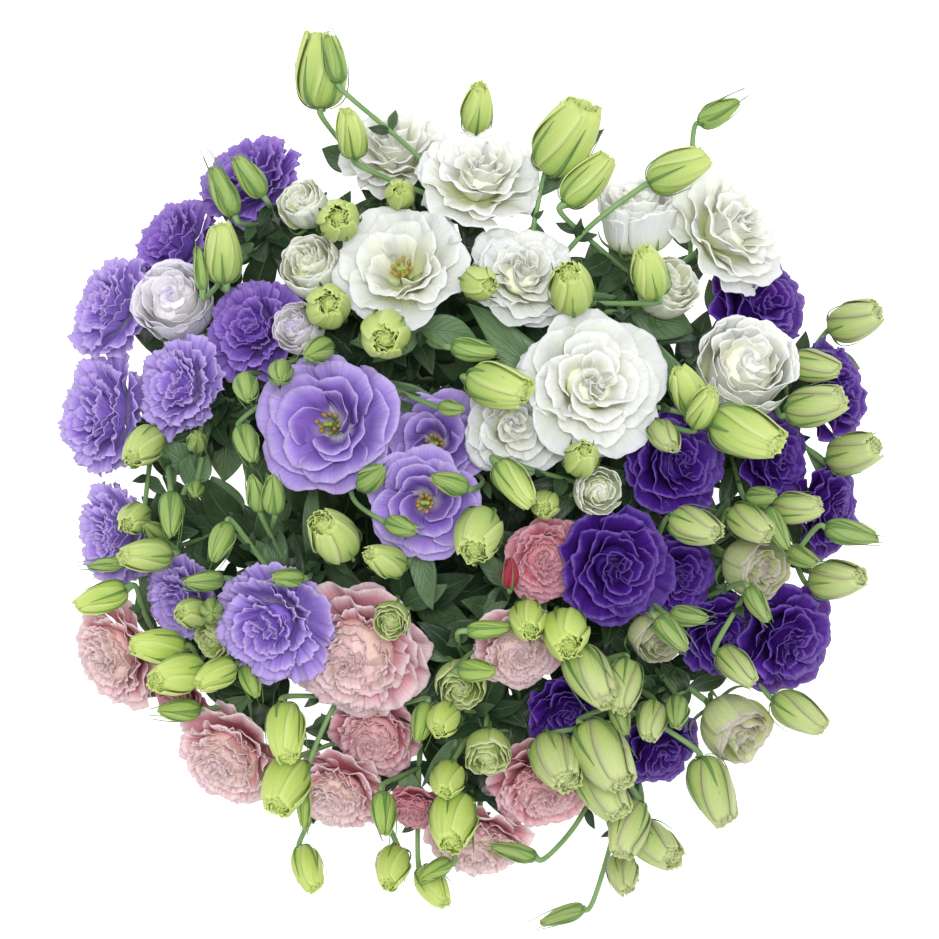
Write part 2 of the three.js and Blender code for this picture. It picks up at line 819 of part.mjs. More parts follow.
// Below the flowers, each outer stem has leaves on two joints, which point outward.
const LOWER_LEAVES = [
  { segment: 2, turn: 30, length: 46, width: 19 },
  { segment: 3, turn: -35, length: 42, width: 17 },
];
const LOWER_RISES = [35, 20, 50, 5, -10, 65];
function lowerLeaf(stem, { segment, turn, length, width }) {
  const heel = mix(stem.main[segment], stem.main[segment + 1], 0.5);
  const azimuth = Math.atan2(heel.y, heel.x) + degrees(turn);
  const x = heel.x + length * Math.cos(azimuth);
  const y = heel.y + length * Math.sin(azimuth);
  return clearestLeaf(stem, heel, x, y, width, LOWER_RISES);
}

// ---- Solids ---------------------------------------------------------------------------------

// A closed skin over rings of points. Rings may differ in how many points they have, and the
// first and last may be a single point.
function skin(rings) {
  const index = [];
  let start = 0;
  for (let r = 0; r < rings.length - 1; r++) {
    const [a, b] = [rings[r].length, rings[r + 1].length];
    const next = start + a;
    const lower = (i) => start + (i % a);
    const upper = (j) => next + (j % b);
    for (let i = 0, j = 0; i < (a > 1 ? a : 0) || j < (b > 1 ? b : 0);) {
      const lowerTurn = b === 1 || (a > 1 && (i + 1) / a <= (j + 1) / b);
      if (lowerTurn) index.push(lower(i), lower(++i), upper(j));
      else index.push(lower(i), upper(j + 1), upper(j++));
    }
    start = next;
  }
  for (let i = 1; i < rings[0].length - 1; i++) index.push(0, i + 1, i);
  for (let i = 1; i < rings.at(-1).length - 1; i++) index.push(start, start + i, start + i + 1);
  const geometry = new THREE.BufferGeometry();
  const position = rings.flat().flatMap((point) => point.toArray());
  geometry.setAttribute("position", new THREE.Float32BufferAttribute(position, 3));
  geometry.setIndex(index);
  return geometry;
}

function toSolid(geometry) {
  geometry.deleteAttribute("normal");
  geometry.deleteAttribute("uv");
  const merged = mergeVertices(geometry, 1e-5);
  const vertProperties = new Float32Array(merged.attributes.position.array);
  const triVerts = new Uint32Array(merged.index.array);
  return new wasm.Manifold(new wasm.Mesh({ numProp: 3, vertProperties, triVerts }));
}

function fromSolid(solid) {
  const { vertProperties, triVerts } = solid.getMesh();
  const geometry = new THREE.BufferGeometry();
  geometry.setAttribute("position", new THREE.BufferAttribute(vertProperties, 3));
  geometry.setIndex(new THREE.BufferAttribute(triVerts, 1));
  return geometry;
}

// Rings along a stem or stalk, without twist. sections holds [point, radius, sides].
function tubeRings(sections) {
  let reference = V(1, 0.3, 0.1);
  return sections.map(([point, radius, sides], i) => {
    const before = sections[Math.max(0, i - 1)][0];
    const after = sections[Math.min(sections.length - 1, i + 1)][0];
    const axis = after.clone().sub(before).normalize();
    [reference] = squareTo(axis, reference);
    return ringAround(point, axis, radius, sides, reference);
  });
}

// The calyx: the end of the stalk widens to a flat seat under the bloom.
function calyxSections({ seat, axis, radius, form }) {
  const width = FORMS[form].profile[0][0] * radius;
  return [
    [along(seat, axis, -NECK), STALK_RADIUS, PETALS],
    [seat, width, PETALS],
  ];
}

// Layers of petals one inside another. The rim of each layer is an edge of lobes that stands
// over the hollow behind it, and alternate layers are turned by half a petal.
const INNERMOST = 2; // the layer that is too small for lobes
function petalRings({ seat, axis, radius, form }, lift) {
  const { profile, rims } = FORMS[form];
  return profile.map(([reach, height], i) => {
    const centre = along(seat, axis, lift + height * radius);
    if (reach === 0) return [centre];
    const layer = rims.indexOf(i);
    const sides = i === 0 || layer === INNERMOST ? PETALS : 2 * PETALS;
    return ringAround(centre, axis, reach * radius, sides).map((point, j) => {
      if (layer < 0 || layer === INNERMOST) return point;
      const lobe = (j + layer) % 2 ? -1 : 1;
      return along(centre.clone().lerp(point, 1 + LOBE_REACH * lobe), axis, radius * LOBE_LIFT * lobe);
    });
  });
}

// A bud is widest a third of the way up, and drawn in to a furled tip.
const BUD_SIDES = 5;
const BUD_SECTIONS = [[0.34, 0.52], [0.8, 0.28]];
function budSections({ seat, axis, width, length }) {
  const shape = BUD_SECTIONS.map(([share, r]) => [along(seat, axis, share * length), r * width, BUD_SIDES]);
  return [...shape, [along(seat, axis, length), 0, 1]];
}

// A leaf is a thin blade, folded a little along its midrib and arched from heel to tip.
const LEAF_STATIONS = [[0.32, 0.92], [0.7, 0.8]];
const LEAF_FOLD = 0.12;
const LEAF_ARCH = 0.1;
function leafSolid({ heel, tip, width }) {
  const length = heel.distanceTo(tip);
  const way = tip.clone().sub(heel).normalize();
  const up = along(V(0, 0, 1), way, -way.z).normalize();
  const across = way.clone().cross(up);
  const rings = LEAF_STATIONS.map(([share, spread]) => {
    const middle = along(mix(heel, tip, share), up, LEAF_ARCH * length * Math.sin(Math.PI * share));
    const half = 0.5 * spread * width;
    const rib = along(middle, up, -LEAF_FOLD * width);
    return [
      along(middle, across, half),
      along(rib, up, -LEAF_THICKNESS / 2),
      along(middle, across, -half),
      along(rib, up, LEAF_THICKNESS / 2),
    ];
  });
  return toSolid(skin([[heel], ...rings, [tip]]));
}

// Turns of twine around the bundle at its narrowest.
const TIE = { turns: 3, twine: 2.4, groove: 0.75, bulge: 1.1, segments: 16, below: 6 };
function tieSolid() {
  const inner = (OUTER_RING.radius + STEM_RADIUS + SEAT_GAP) / Math.cos(Math.PI / TIE.segments);
  const height = TIE.turns * TIE.twine;
  const profile = [new THREE.Vector2(inner, 0)];
  for (let i = 0; i < TIE.turns; i++) {
    if (i > 0) profile.push(new THREE.Vector2(inner + TIE.groove * TIE.twine, i * TIE.twine));
    profile.push(new THREE.Vector2(inner + TIE.bulge * TIE.twine, (i + 0.5) * TIE.twine));
  }
  profile.push(new THREE.Vector2(inner, height), new THREE.Vector2(inner, 0));
  const ring = new THREE.LatheGeometry(profile, TIE.segments);
  return toSolid(ring.rotateX(Math.PI / 2).translate(0, 0, TIE_HEIGHT - TIE.below));
}

// ---- The bunch ------------------------------------------------------------------------------

for (const stem of STEMS) {
  stem.heads = [...stem.blooms.map(bloomItem), ...stem.opening.map(openingItem)];
  stem.budItems = stem.buds.map(budItem);
}
const items = STEMS.flatMap((stem) => [...stem.heads, ...stem.budItems]);
settle(items);
for (const item of items) {
  for (const { offset, radius } of item.balls) {
    taken.push({ item, point: item.seat.clone().add(offset), radius });
  }
}

for (const stem of STEMS) forkStem(stem);
for (const ring of [INNER_RING, OUTER_RING]) placeInTie(STEMS.filter((stem) => stem.ring === ring));
for (const stem of STEMS) {
  stem.main = mainStem(stem);
  stem.branchPoints = [];
  takePath(stem.main, STEM_RADIUS, stem);
}
for (const stem of STEMS) {
  for (const item of stem.heads) routeHead(stem, item);
}
for (const stem of STEMS) {
  for (const bud of stem.budItems) routeBud(stem, bud);
}
for (const stem of STEMS) {
  stem.leafPlaces = stem.leaves.map((row) => upperLeaf(stem, row));
  if (stem.ring === OUTER_RING) stem.leafPlaces.push(...LOWER_LEAVES.map((row) => lowerLeaf(stem, row)));
}

// ---- Nodes ----------------------------------------------------------------------------------

const bunch = new THREE.Group();
function addNode(name, solid, colour) {
  const [color, roughness] = COLOURS[colour];
  const material = new THREE.MeshStandardMaterial({ color, roughness, flatShading: true });
  const mesh = new THREE.Mesh(fromSolid(solid), material);
  mesh.name = name;
  bunch.add(mesh);
}

const stretch = (points, radius, sides) => points.map((point) => [point, radius, sides]);

// A branch starts as a point inside what it grows from, with a slim collar.
const COLLAR = { height: 3.5, radius: 0.7 };
function branch(points, radius) {
  const [start, next, ...rest] = points;
  const collar = mix(start, next, COLLAR.height / start.distanceTo(next));
  const stalk = stretch([next, ...rest], radius, STALK_SIDES);
  return [[start, 0, 1], [collar, COLLAR.radius * radius, STALK_SIDES], ...stalk];
}

// The calyx of a bloom ends its stalk. A half-open bud's petals grow straight out of its own.
function headRings(item, stalk) {
  const rings = tubeRings([...stalk.slice(0, -1), ...calyxSections(item)]);
  return item.kind === "opening" ? [...rings, ...petalRings(item, 0)] : rings;
}

// The cut ends are level with the surface that the bunch stands on.
const GROUND = { side: 400, depth: 60 };
const slab = new THREE.BoxGeometry(GROUND.side, GROUND.side, GROUND.depth);
const ground = toSolid(slab.translate(0, 0, -GROUND.depth / 2));

function leafyStem(stem) {
  const [first, ...others] = stem.heads;
  const lower = stretch(stem.main.slice(0, -1), STEM_RADIUS, STEM_SIDES);
  const upper = stretch(first.stalk, STALK_RADIUS, STALK_SIDES);
  const grown = [toSolid(skin(headRings(first, [...lower, ...upper]))).subtract(ground)];
  for (const item of others) grown.push(toSolid(skin(headRings(item, branch(item.stalk, STALK_RADIUS)))));
  for (const bud of stem.budItems) {
    const sections = [...branch(bud.stalk, BUD_STALK_RADIUS), ...budSections(bud)];
    grown.push(toSolid(skin(tubeRings(sections))));
  }
  for (const leaf of stem.leafPlaces) grown.push(leafSolid(leaf));
  return grown.reduce((a, b) => a.add(b));
}

for (const stem of STEMS) {
  addNode(`stem_${stem.name}`, leafyStem(stem), "leaf");
  const blooms = stem.heads.filter((item) => item.kind === "bloom");
  blooms.forEach((bloom, i) => {
    const petals = toSolid(skin(petalRings(bloom, SEAT_GAP)));
    addNode(`bloom_${stem.name}_${i + 1}`, petals, bloom.petals || stem.petals);
  });
}
addNode("tie", tieSolid(), "twine");

// The origin is the middle of the footprint, on the surface that the bunch stands on.
const middle = new THREE.Box3().setFromObject(bunch).getCenter(V());
bunch.position.set(-middle.x, -middle.y, 0);

export default bunch;
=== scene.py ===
"""A hand-tied bunch of cut lisianthus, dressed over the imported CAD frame.

Every open bloom, every leafy stem and the tie has a finer piece here that stands for its CAD node.
The first half finds the place of each flower, stalk and leaf by the same tables and rules as the
part's source. The second half builds petals, buds, leaves and stems there, then the materials,
the floor, the light and the camera.

Places are in millimetres, seen from straight above with +Y away, until a mesh is made.
"""

import math

import bpy
import numpy as np
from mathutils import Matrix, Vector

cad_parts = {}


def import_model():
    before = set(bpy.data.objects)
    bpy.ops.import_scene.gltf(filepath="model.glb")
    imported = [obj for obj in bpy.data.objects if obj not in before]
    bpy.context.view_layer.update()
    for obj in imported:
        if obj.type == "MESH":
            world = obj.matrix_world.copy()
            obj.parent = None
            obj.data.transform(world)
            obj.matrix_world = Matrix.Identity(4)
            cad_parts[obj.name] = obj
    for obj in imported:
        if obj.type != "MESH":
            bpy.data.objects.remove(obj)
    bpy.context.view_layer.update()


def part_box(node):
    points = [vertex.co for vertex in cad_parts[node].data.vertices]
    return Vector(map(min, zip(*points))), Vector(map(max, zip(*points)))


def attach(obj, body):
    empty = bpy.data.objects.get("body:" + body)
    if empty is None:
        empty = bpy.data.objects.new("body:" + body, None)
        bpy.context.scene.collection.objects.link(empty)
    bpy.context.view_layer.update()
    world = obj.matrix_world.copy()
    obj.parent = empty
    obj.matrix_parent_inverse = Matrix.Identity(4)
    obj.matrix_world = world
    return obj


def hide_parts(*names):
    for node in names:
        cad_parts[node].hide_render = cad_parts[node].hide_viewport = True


# ---- Driving dimensions, as in the part's source ---------------------------------------------

TIE_HEIGHT = 185  # where the stems cross
DOME_TOP = 415  # middle of the topmost blooms
DOME_DROP = 92  # how much lower the outermost blooms sit
DOME_RADIUS = 200
RIM_TILT = 62  # degrees that a bloom at the rim leans outward
TILT_POWER = 1.2
BUD_LENGTH = (10, 1.35)  # shortest length of a bud: a base, and what its width adds

STEM_RADIUS = 2.5
STALK_RADIUS = 1.6
BUD_STALK_RADIUS = 1.3

# The stems cross the tie in two rings, which lean more the further out they are.
INNER_RING = {"radius": 4.8, "slope": 0.2}
OUTER_RING = {"radius": 10.2, "slope": 0.36}
RING_TURN = 75  # degrees that a stem swings round between the tie and its fork
FORK_LEVEL = 0.5

LEAF_THICKNESS = 1.6
WEIGHTS = {"bloom": 0.3, "opening": 0.5, "bud": 0.7}  # how readily each gives way to others
CLEAR = 1.5  # room kept between a stalk and what it passes

SETTLE_ROUNDS = 200
SETTLE_GAP = 1.1
SETTLE_STEP = 0.6
SIDEWAYS = 0.55
HOME_PULL = 0.06
PULL_END = 0.6  # as a share of the rounds
NEAR_ENOUGH = 60  # flowers further apart than this never meet while they settle

BALLS_AROUND = 10
STALK_ROOM = (-4, -9, -14)
BUD_BALLS = ((0.34, 0.52), (0.62, 0.44), (0.88, 0.28))

TAKEN_STEP = 5
BEND_SPOTS = (0.2, 0.4, 0.6, 0.8, 1)
BEND_SMOOTHING = 0.04
BEND_REACH = 30
BEND_ROOM = 22
BEND_ROUNDS = 50
ROOT_REACH = 14  # within which a stalk may touch its own stem
WAYS_BENT = 10
COST = {"per_length": 0.05, "per_bend": 2, "first": 0.01}
NO_BALL = -1e6  # a radius that nothing touches
NEARLY_ALONG = 0.01  # square of what is left of a unit vector beside one that runs along it

MAIN_STEPS = 3
MAIN_LEADS = (0.4, 0.3)
FOOT_SPARE = 6
NECK = 5  # the length of a calyx
STALK_LEADS = (0.35, 0.3)
BRANCH_SPACING = 4.5
HEAD_STEPS = 3
HEAD_SHARES = (0.8, 0.65, 0.5, 0.35, 0.2)
BUD_STEPS = 2
BUD_SHARES = (0.25, 0.4, 0.55, 0.7)

LEAF_SPOTS = (0.3, 0.5, 0.7, 0.9)
LEAF_SPREADS = (-0.4, 0, 0.4)
LEAF_CLEARER = 0.01
LEAF_RISES = (0, 12, -12, 24, -24, 36, -36, 50, -50)
LEAF_DEPTH = 34  # below the dome of flowers
LEAF_JOINTS = (0, 0.25, 0.5, 0.75)
LOWER_LEAVES = ((2, 30, 46, 19), (3, -35, 42, 17))  # main stem segment, turn, length, width
LOWER_RISES = (35, 20, 50, 5, -10, 65)

# The room that each flower form takes: height of its middle, and rings of balls along its axis
# as (ring radius, height, ball radius), in multiples of the flower's radius.
LAYERED_BALLS = ((0, 0.38, 0.44), (0.72, 0.52, 0.34))
LAYERED_FORMS = ("rose", "ruffle", "carnation", "open")
FORMS = dict.fromkeys(LAYERED_FORMS, {"middle": 0.42, "balls": LAYERED_BALLS}) | {
    "goblet": {"middle": 0.8, "balls": ((0, 0.55, 0.72), (0, 1.1, 0.94))},
    "opening": {"middle": 0.8, "balls": ((0, 0.55, 0.7), (0, 1.05, 0.8))},
}

# ---- What each stem carries ------------------------------------------------------------------
# blooms:  (x, y, radius, form, drop below the dome, facing azimuth, tilt, petals)
# opening: (x, y, radius, drop below the dome), a half-open bud
# buds:    (heel x, heel y, tip x, tip y, width, height above the dome)
# leaves:  (heel x, heel y, tip x, tip y, width)

STEMS = [
    {
        "name": "white_1", "ring": OUTER_RING, "petals": "white",
        "blooms": [(-36, 162, 27, "rose", 10), (3, 147, 29, "rose", 0)],
        "opening": [],
        "buds": [(-74, 183, -75, 223, 22, 4), (-66, 195, -73, 219, 10, 22),
                 (-57, 157, -62, 181, 13, 22), (3, 170, 5, 194, 14, -6), (-33, 132, -33, 136, 13, -4)],
        "leaves": [(-72, 138, -75, 162, 15), (-55, 136, -37, 138, 9)],
    },
    {
        "name": "white_2", "ring": INNER_RING, "petals": "white",
        "blooms": [(-36, 102, 32, "open", 0)],
        "opening": [(-76, 100, 18, 6), (-83, 132, 14, 2)],
        "buds": [(-65, 123, -65, 126, 18, 14), (-71, 80, -70, 83, 19, 14), (-42, 72, -42, 67, 21, 20),
                 (-9, 61, 14, 58, 10, 16)],
        "leaves": [(-15, 60, -60, 63, 14), (-27, 38, -49, 54, 12), (-20, 80, 4, 66, 18)],
    },
    {
        "name": "white_3", "ring": OUTER_RING, "petals": "white",
        "blooms": [(26, 97, 25, "rose", 4), (84, 124, 20, "goblet", 4, 92, 66),
                   (127, 118, 31, "rose", 0, 35, 48)],
        "opening": [(98, 90, 18, 4)],
        "buds": [(38, 150, 57, 184, 25, 12), (48, 133, 70, 158, 16, 16), (0, 95, 9, 93, 15, 14),
                 (52, 82, 49, 99, 19, 16), (117, 175, 136, 187, 11, 16), (90, 143, 120, 158, 17, 30),
                 (93, 87, 86, 111, 16, 26)],
        "leaves": [(56, 150, 67, 172, 13), (82, 58, 113, 70, 20), (42, 80, 74, 86, 12)],
    },
    {
        "name": "white_4", "ring": INNER_RING, "petals": "white",
        "blooms": [(62, 42, 34, "rose", 0), (22, 20, 24, "rose", 12),
                   (138, 48, 25, "goblet", 0, 60, 30)],
        "opening": [(62, -12, 14, -4)],
        "buds": [(0, 45, 30, 38, 19, 18), (14, 3, 32, -18, 14, 10), (38, -16, 38, -20, 12, -4),
                 (57, 0, 60, 8, 15, 14), (112, 22, 121, 40, 12, 26), (112, 28, 101, 50, 15, 10),
                 (122, 24, 156, 12, 22, 22)],
        "leaves": [(36, 64, -2, 82, 20), (95, 55, 80, 73, 14)],
    },
    {
        "name": "lilac_1", "ring": OUTER_RING, "petals": "lavender",
        "blooms": [(-112, 148, 25, "ruffle", 8), (-154, 112, 24, "ruffle", 4, 145, 62),
                   (-145, 82, 20, "goblet", 4, 120, 30, "lilac_white"), (-111, 72, 24, "ruffle", 2)],
        "opening": [],
        "buds": [(-104, 138, -118, 157, 11, 20), (-118, 128, -130, 152, 11, 20),
                 (-123, 94, -126, 124, 16, 16), (-133, 90, -136, 112, 6, 24),
                 (-113, 47, -110, 36, 11, 12)],
        "leaves": [(-98, 124, -118, 133, 16), (-91, 100, -117, 113, 14)],
    },
    {
        "name": "lilac_2", "ring": OUTER_RING, "petals": "lavender",
        "blooms": [(-177, 80, 25, "ruffle", 2), (-187, 30, 28, "ruffle", 0),
                   (-147, 42, 23, "ruffle", 0)],
        "opening": [],
        "buds": [(-156, 22, -167, 9, 16, 12), (-137, 12, -136, 17, 9, 8), (-137, -8, -137, -13, 7, 6),
                 (-150, -12, -149, -34, 11, 16), (-165, -22, -172, -28, 13, 12),
                 (-155, -33, -163, -28, 8, 10)],
        "leaves": [(-136, -5, -160, 13, 18), (-128, -13, -133, 11, 17)],
    },
    {
        "name": "lilac_3", "ring": INNER_RING, "petals": "lavender",
        "blooms": [(-72, 25, 34, "open", 0), (-22, -17, 27, "open", 0), (-16, 14, 25, "open", 20)],
        "opening": [(-90, 66, 15, -4)],
        "buds": [(-114, 21, -108, 4, 11, 12), (-93, 50, -93, 43, 11, 10), (-71, 62, -81, 56, 11, 16),
                 (-14, 31, -3, 30, 7, 18), (-53, -8, -43, 1, 11, 12), (-2, -9, -19, -4, 10, 20),
                 (-40, -26, -26, -30, 9, 20), (-34, -48, -50, -41, 14, 6), (5, -24, 0, -41, 20, 14)],
        "leaves": [(-30, 42, 0, 21, 15), (-36, -55, -18, -70, 13)],
    },
    {
        "name": "lilac_4", "ring": OUTER_RING, "petals": "lavender",
        "blooms": [(-181, -34, 24, "ruffle", 2, 190, 62), (-95, -76, 28, "ruffle", 0),
                   (-146, -66, 20, "ruffle", 14)],
        "opening": [],
        "buds": [(-150, -42, -175, -44, 14, 20), (-173, -46, -192, -48, 6, 14),
                 (-121, -28, -128, -46, 11, 20), (-124, -55, -143, -57, 9, 16),
                 (-133, -74, -143, -74, 13, 16), (-127, -71, -126, -73, 10, 20),
                 (-104, -20, -108, -3, 9, 22), (-98, -21, -99, -3, 10, 24), (-84, -54, -98, -54, 8, 26),
                 (-62, -40, -74, -26, 20, 10)],
        "leaves": [(-160, -47, -165, -63, 13), (-152, -50, -172, -77, 13), (-135, -46, -146, -57, 12),
                   (-80, -42, -78, -3, 10), (-85, -44, -119, -33, 10)],
    },
    {
        "name": "pink_1", "ring": OUTER_RING, "petals": "pink",
        "blooms": [(-180, -94, 26, "carnation", 2, 205, 55), (-122, -143, 28, "carnation", 2, 235, 50),
                   (-147, -116, 15, "carnation", 14)],
        "opening": [(-125, -86, 13, -4)],
        "buds": [(-173, -60, -199, -70, 13, 12), (-142, -88, -169, -88, 15, 18),
                 (-135, -97, -158, -104, 17, 22), (-119, -98, -136, -108, 13, 22),
                 (-136, -127, -156, -128, 10, 14), (-114, -97, -108, -112, 9, 10)],
        "leaves": [(-153, -108, -178, -113, 10), (-108, -108, -136, -132, 13),
                   (-160, -105, -168, -92, 9)],
    },
    {
        "name": "pink_2", "ring": OUTER_RING, "petals": "pink",
        "blooms": [(-60, -96, 33, "carnation", 0), (-67, -163, 24, "carnation", 4, 250, 52),
                   (-50, -132, 22, "carnation", 14), (-27, -172, 14, "carnation", 10)],
        "opening": [(-40, -75, 11, -10)],
        "buds": [(-21, -118, -25, -136, 10, 8), (-44, -163, -42, -184, 11, 12),
                 (-37, -193, -41, -210, 15, 6), (-24, -203, -12, -220, 13, 0),
                 (-93, -118, -91, -146, 17, 14), (-88, -148, -97, -171, 20, 12),
                 (-85, -192, -78, -213, 13, 0), (-83, -163, -82, -182, 6, 12)],
        "leaves": [(-81, -148, -72, -167, 10), (-42, -153, -59, -163, 12), (-40, -148, -32, -165, 11)],
    },
    {
        "name": "pink_3", "ring": INNER_RING, "petals": "pink",
        "blooms": [(40, -46, 20, "carnation", 8), (21, -91, 21, "carnation", 2),
                   (35, -163, 27, "carnation", 2, 282, 48), (9, -188, 24, "carnation", 4, 268, 60)],
        "opening": [(-1, -108, 14, -6), (9, -141, 14, -4)],
        "buds": [(20, -58, 20, -44, 8, 18), (30, -72, 32, -82, 16, 14), (44, -75, 47, -88, 20, 16),
                 (0, -80, 22, -78, 8, 26), (-4, -100, 13, -100, 10, 26), (-8, -115, -12, -125, 14, 8),
                 (-10, -152, -12, -163, 15, 10), (-8, -165, -9, -187, 21, 14),
                 (-8, -187, -22, -195, 8, 8)],
        "leaves": [(22, -60, 33, -30, 12), (20, -60, 4, -42, 12), (25, -60, 38, -78, 14),
                   (12, -62, 3, -76, 11), (12, -12, 26, -40, 14), (-20, -97, -26, -116, 14),
                   (-4, -96, -28, -92, 11), (0, -125, -25, -160, 8)],
    },
    {
        "name": "purple_1", "ring": OUTER_RING, "petals": "purple",
        "blooms": [(150, 88, 27, "rose", 4, 25, 45), (184, 40, 25, "rose", 2, 8, 62),
                   (155, 5, 22, "rose", 8)],
        "opening": [],
        "buds": [(183, 70, 207, 80, 17, 4), (160, 53, 184, 50, 14, 16), (160, 28, 188, 37, 17, 18),
                 (184, 0, 207, 8, 17, 4), (140, -14, 153, -13, 9, 16)],
        "leaves": [(186, 66, 199, 52, 9), (184, -1, 193, -15, 9)],
    },
    {
        "name": "purple_2", "ring": INNER_RING, "petals": "purple",
        "blooms": [(73, -45, 28, "rose", 0), (104, 4, 25, "rose", 2), (106, -54, 20, "rose", 14)],
        "opening": [(88, -83, 15, -2)],
        "buds": [(88, 24, 97, 13, 12, 14), (102, -25, 124, -32, 16, 18), (92, -75, 107, -90, 10, 24),
                 (100, -72, 118, -74, 9, 20)],
        "leaves": [(105, -70, 120, -50, 6), (103, -32, 104, -46, 8)],
    },
    {
        "name": "purple_3", "ring": OUTER_RING, "petals": "purple",
        "blooms": [(178, -18, 23, "rose", 4, -8, 58), (160, -86, 27, "rose", 0, -28, 45),
                   (125, -82, 21, "rose", 14)],
        "opening": [(140, -48, 19, -2)],
        "buds": [(153, -20, 177, -18, 14, 16), (132, -22, 150, -33, 15, 14),
                 (148, -20, 160, -40, 10, 28), (180, -28, 207, -33, 11, 16),
                 (160, -41, 175, -47, 9, 10), (140, -60, 150, -76, 9, 28),
                 (172, -60, 197, -57, 17, 8), (126, -91, 143, -107, 13, 16),
                 (154, -110, 180, -126, 16, 8)],
        "leaves": [(174, -64, 183, -78, 9)],
    },
    {
        "name": "purple_4", "ring": OUTER_RING, "petals": "purple",
        "blooms": [(50, -121, 20, "rose", 14), (97, -142, 22, "rose", 10)],
        "opening": [(130, -130, 20, -2)],
        "buds": [(33, -194, 10, -189, 8, 20), (58, -223, 36, -231, 8, 0), (42, -134, 54, -155, 20, 12),
                 (55, -128, 75, -158, 23, 20), (50, -152, 68, -178, 19, 10),
                 (52, -90, 72, -118, 19, 16), (82, -95, 80, -120, 16, 16),
                 (72, -118, 77, -134, 9, 18), (115, -145, 130, -180, 19, 8),
                 (92, -118, 90, -135, 13, 18), (104, -116, 104, -129, 11, 18),
                 (82, -165, 75, -192, 17, 12), (84, -182, 104, -197, 17, 4),
                 (76, -197, 80, -214, 14, -2)],
        "leaves": [(82, -150, 87, -174, 9)],
    },
]


def V(x, y, z):
    return np.array([x, y, z], float)


def unit(vector):
    return vector / math.sqrt(vector @ vector)


def mix(a, b, t):
    return a + (b - a) * t


def leaning(azimuth, tilt):
    """A unit vector that leans by tilt from straight up, towards azimuth."""
    return V(math.sin(tilt) * math.cos(azimuth), math.sin(tilt) * math.sin(azimuth), math.cos(tilt))


def square_to(axis, reference=(1, 0, 0)):
    """Two unit vectors square to the axis, the first one as near to reference as can be."""
    reference = np.array(reference, float)
    side = reference - axis * (reference @ axis)
    if side @ side < NEARLY_ALONG:
        side = V(0, 1, 0) - axis * axis[1]
    side = unit(side)
    return side, np.cross(axis, side)


def spoke(k, count):
    """The angle of the k-th of count even steps round a circle."""
    return 2 * math.pi * k / count


def outward_from(axis, angles):
    """Unit vectors square to the axis, one for each angle round it."""
    side, other = square_to(axis)
    return np.cos(angles)[..., None] * side + np.sin(angles)[..., None] * other


def ring_around(centre, axis, radius, sides):
    return centre + radius * outward_from(axis, spoke(np.arange(sides), sides))


# ---- Where the flowers are -------------------------------------------------------------------


def dome_height(x, y):
    return DOME_TOP - DOME_DROP * (x * x + y * y) / DOME_RADIUS**2


def outward_tilt(x, y):
    return math.radians(RIM_TILT) * (math.hypot(x, y) / DOME_RADIUS) ** TILT_POWER


class Flower:
    """A bloom, a half-open bud or a bud: where it sits, which way it faces, and the room it takes."""

    def __init__(self, kind, seat, axis, balls, **facts):
        self.kind = kind
        self.seat = seat
        self.axis = axis
        self.balls = balls
        stalk = [(axis * height, STALK_RADIUS) for height in STALK_ROOM]
        room = balls + stalk
        self.offsets = np.array([offset for offset, _ in room])
        self.radii = np.array([radius for _, radius in room])
        self.reach = float((np.linalg.norm(self.offsets, axis=1) + self.radii).max())
        self.weight = WEIGHTS[kind]
        self.stalk = None
        for name, value in facts.items():
            setattr(self, name, value)


def balls_along(axis, rings, scale):
    balls = []
    for ring, height, radius in rings:
        centre = axis * (height * scale)
        for offset in ring_around(centre, axis, ring * scale, BALLS_AROUND if ring > 0 else 1):
            balls.append((offset, radius * scale))
    return balls


def bloom_at(kind, x, y, radius, form, drop, azimuth=None, tilt=None, petals=None):
    facing = math.atan2(y, x) if azimuth is None else math.radians(azimuth)
    axis = leaning(facing, outward_tilt(x, y) if tilt is None else math.radians(tilt))
    seat = V(x, y, dome_height(x, y) - drop) - axis * (FORMS[form]["middle"] * radius)
    balls = balls_along(axis, FORMS[form]["balls"], radius)
    return Flower(kind, seat, axis, balls, radius=radius, form=form, petals=petals)


def bud_at(x, y, tip_x, tip_y, width, lift):
    seen = math.hypot(tip_x - x, tip_y - y)
    length = max(seen, BUD_LENGTH[0] + BUD_LENGTH[1] * width)
    axis = unit(V(tip_x - x, tip_y - y, math.sqrt(length**2 - seen**2)))
    balls = [(axis * (share * length), radius * width) for share, radius in BUD_BALLS]
    seat = V(x, y, dome_height(x, y) + lift)
    return Flower("bud", seat, axis, balls, width=width, length=length)


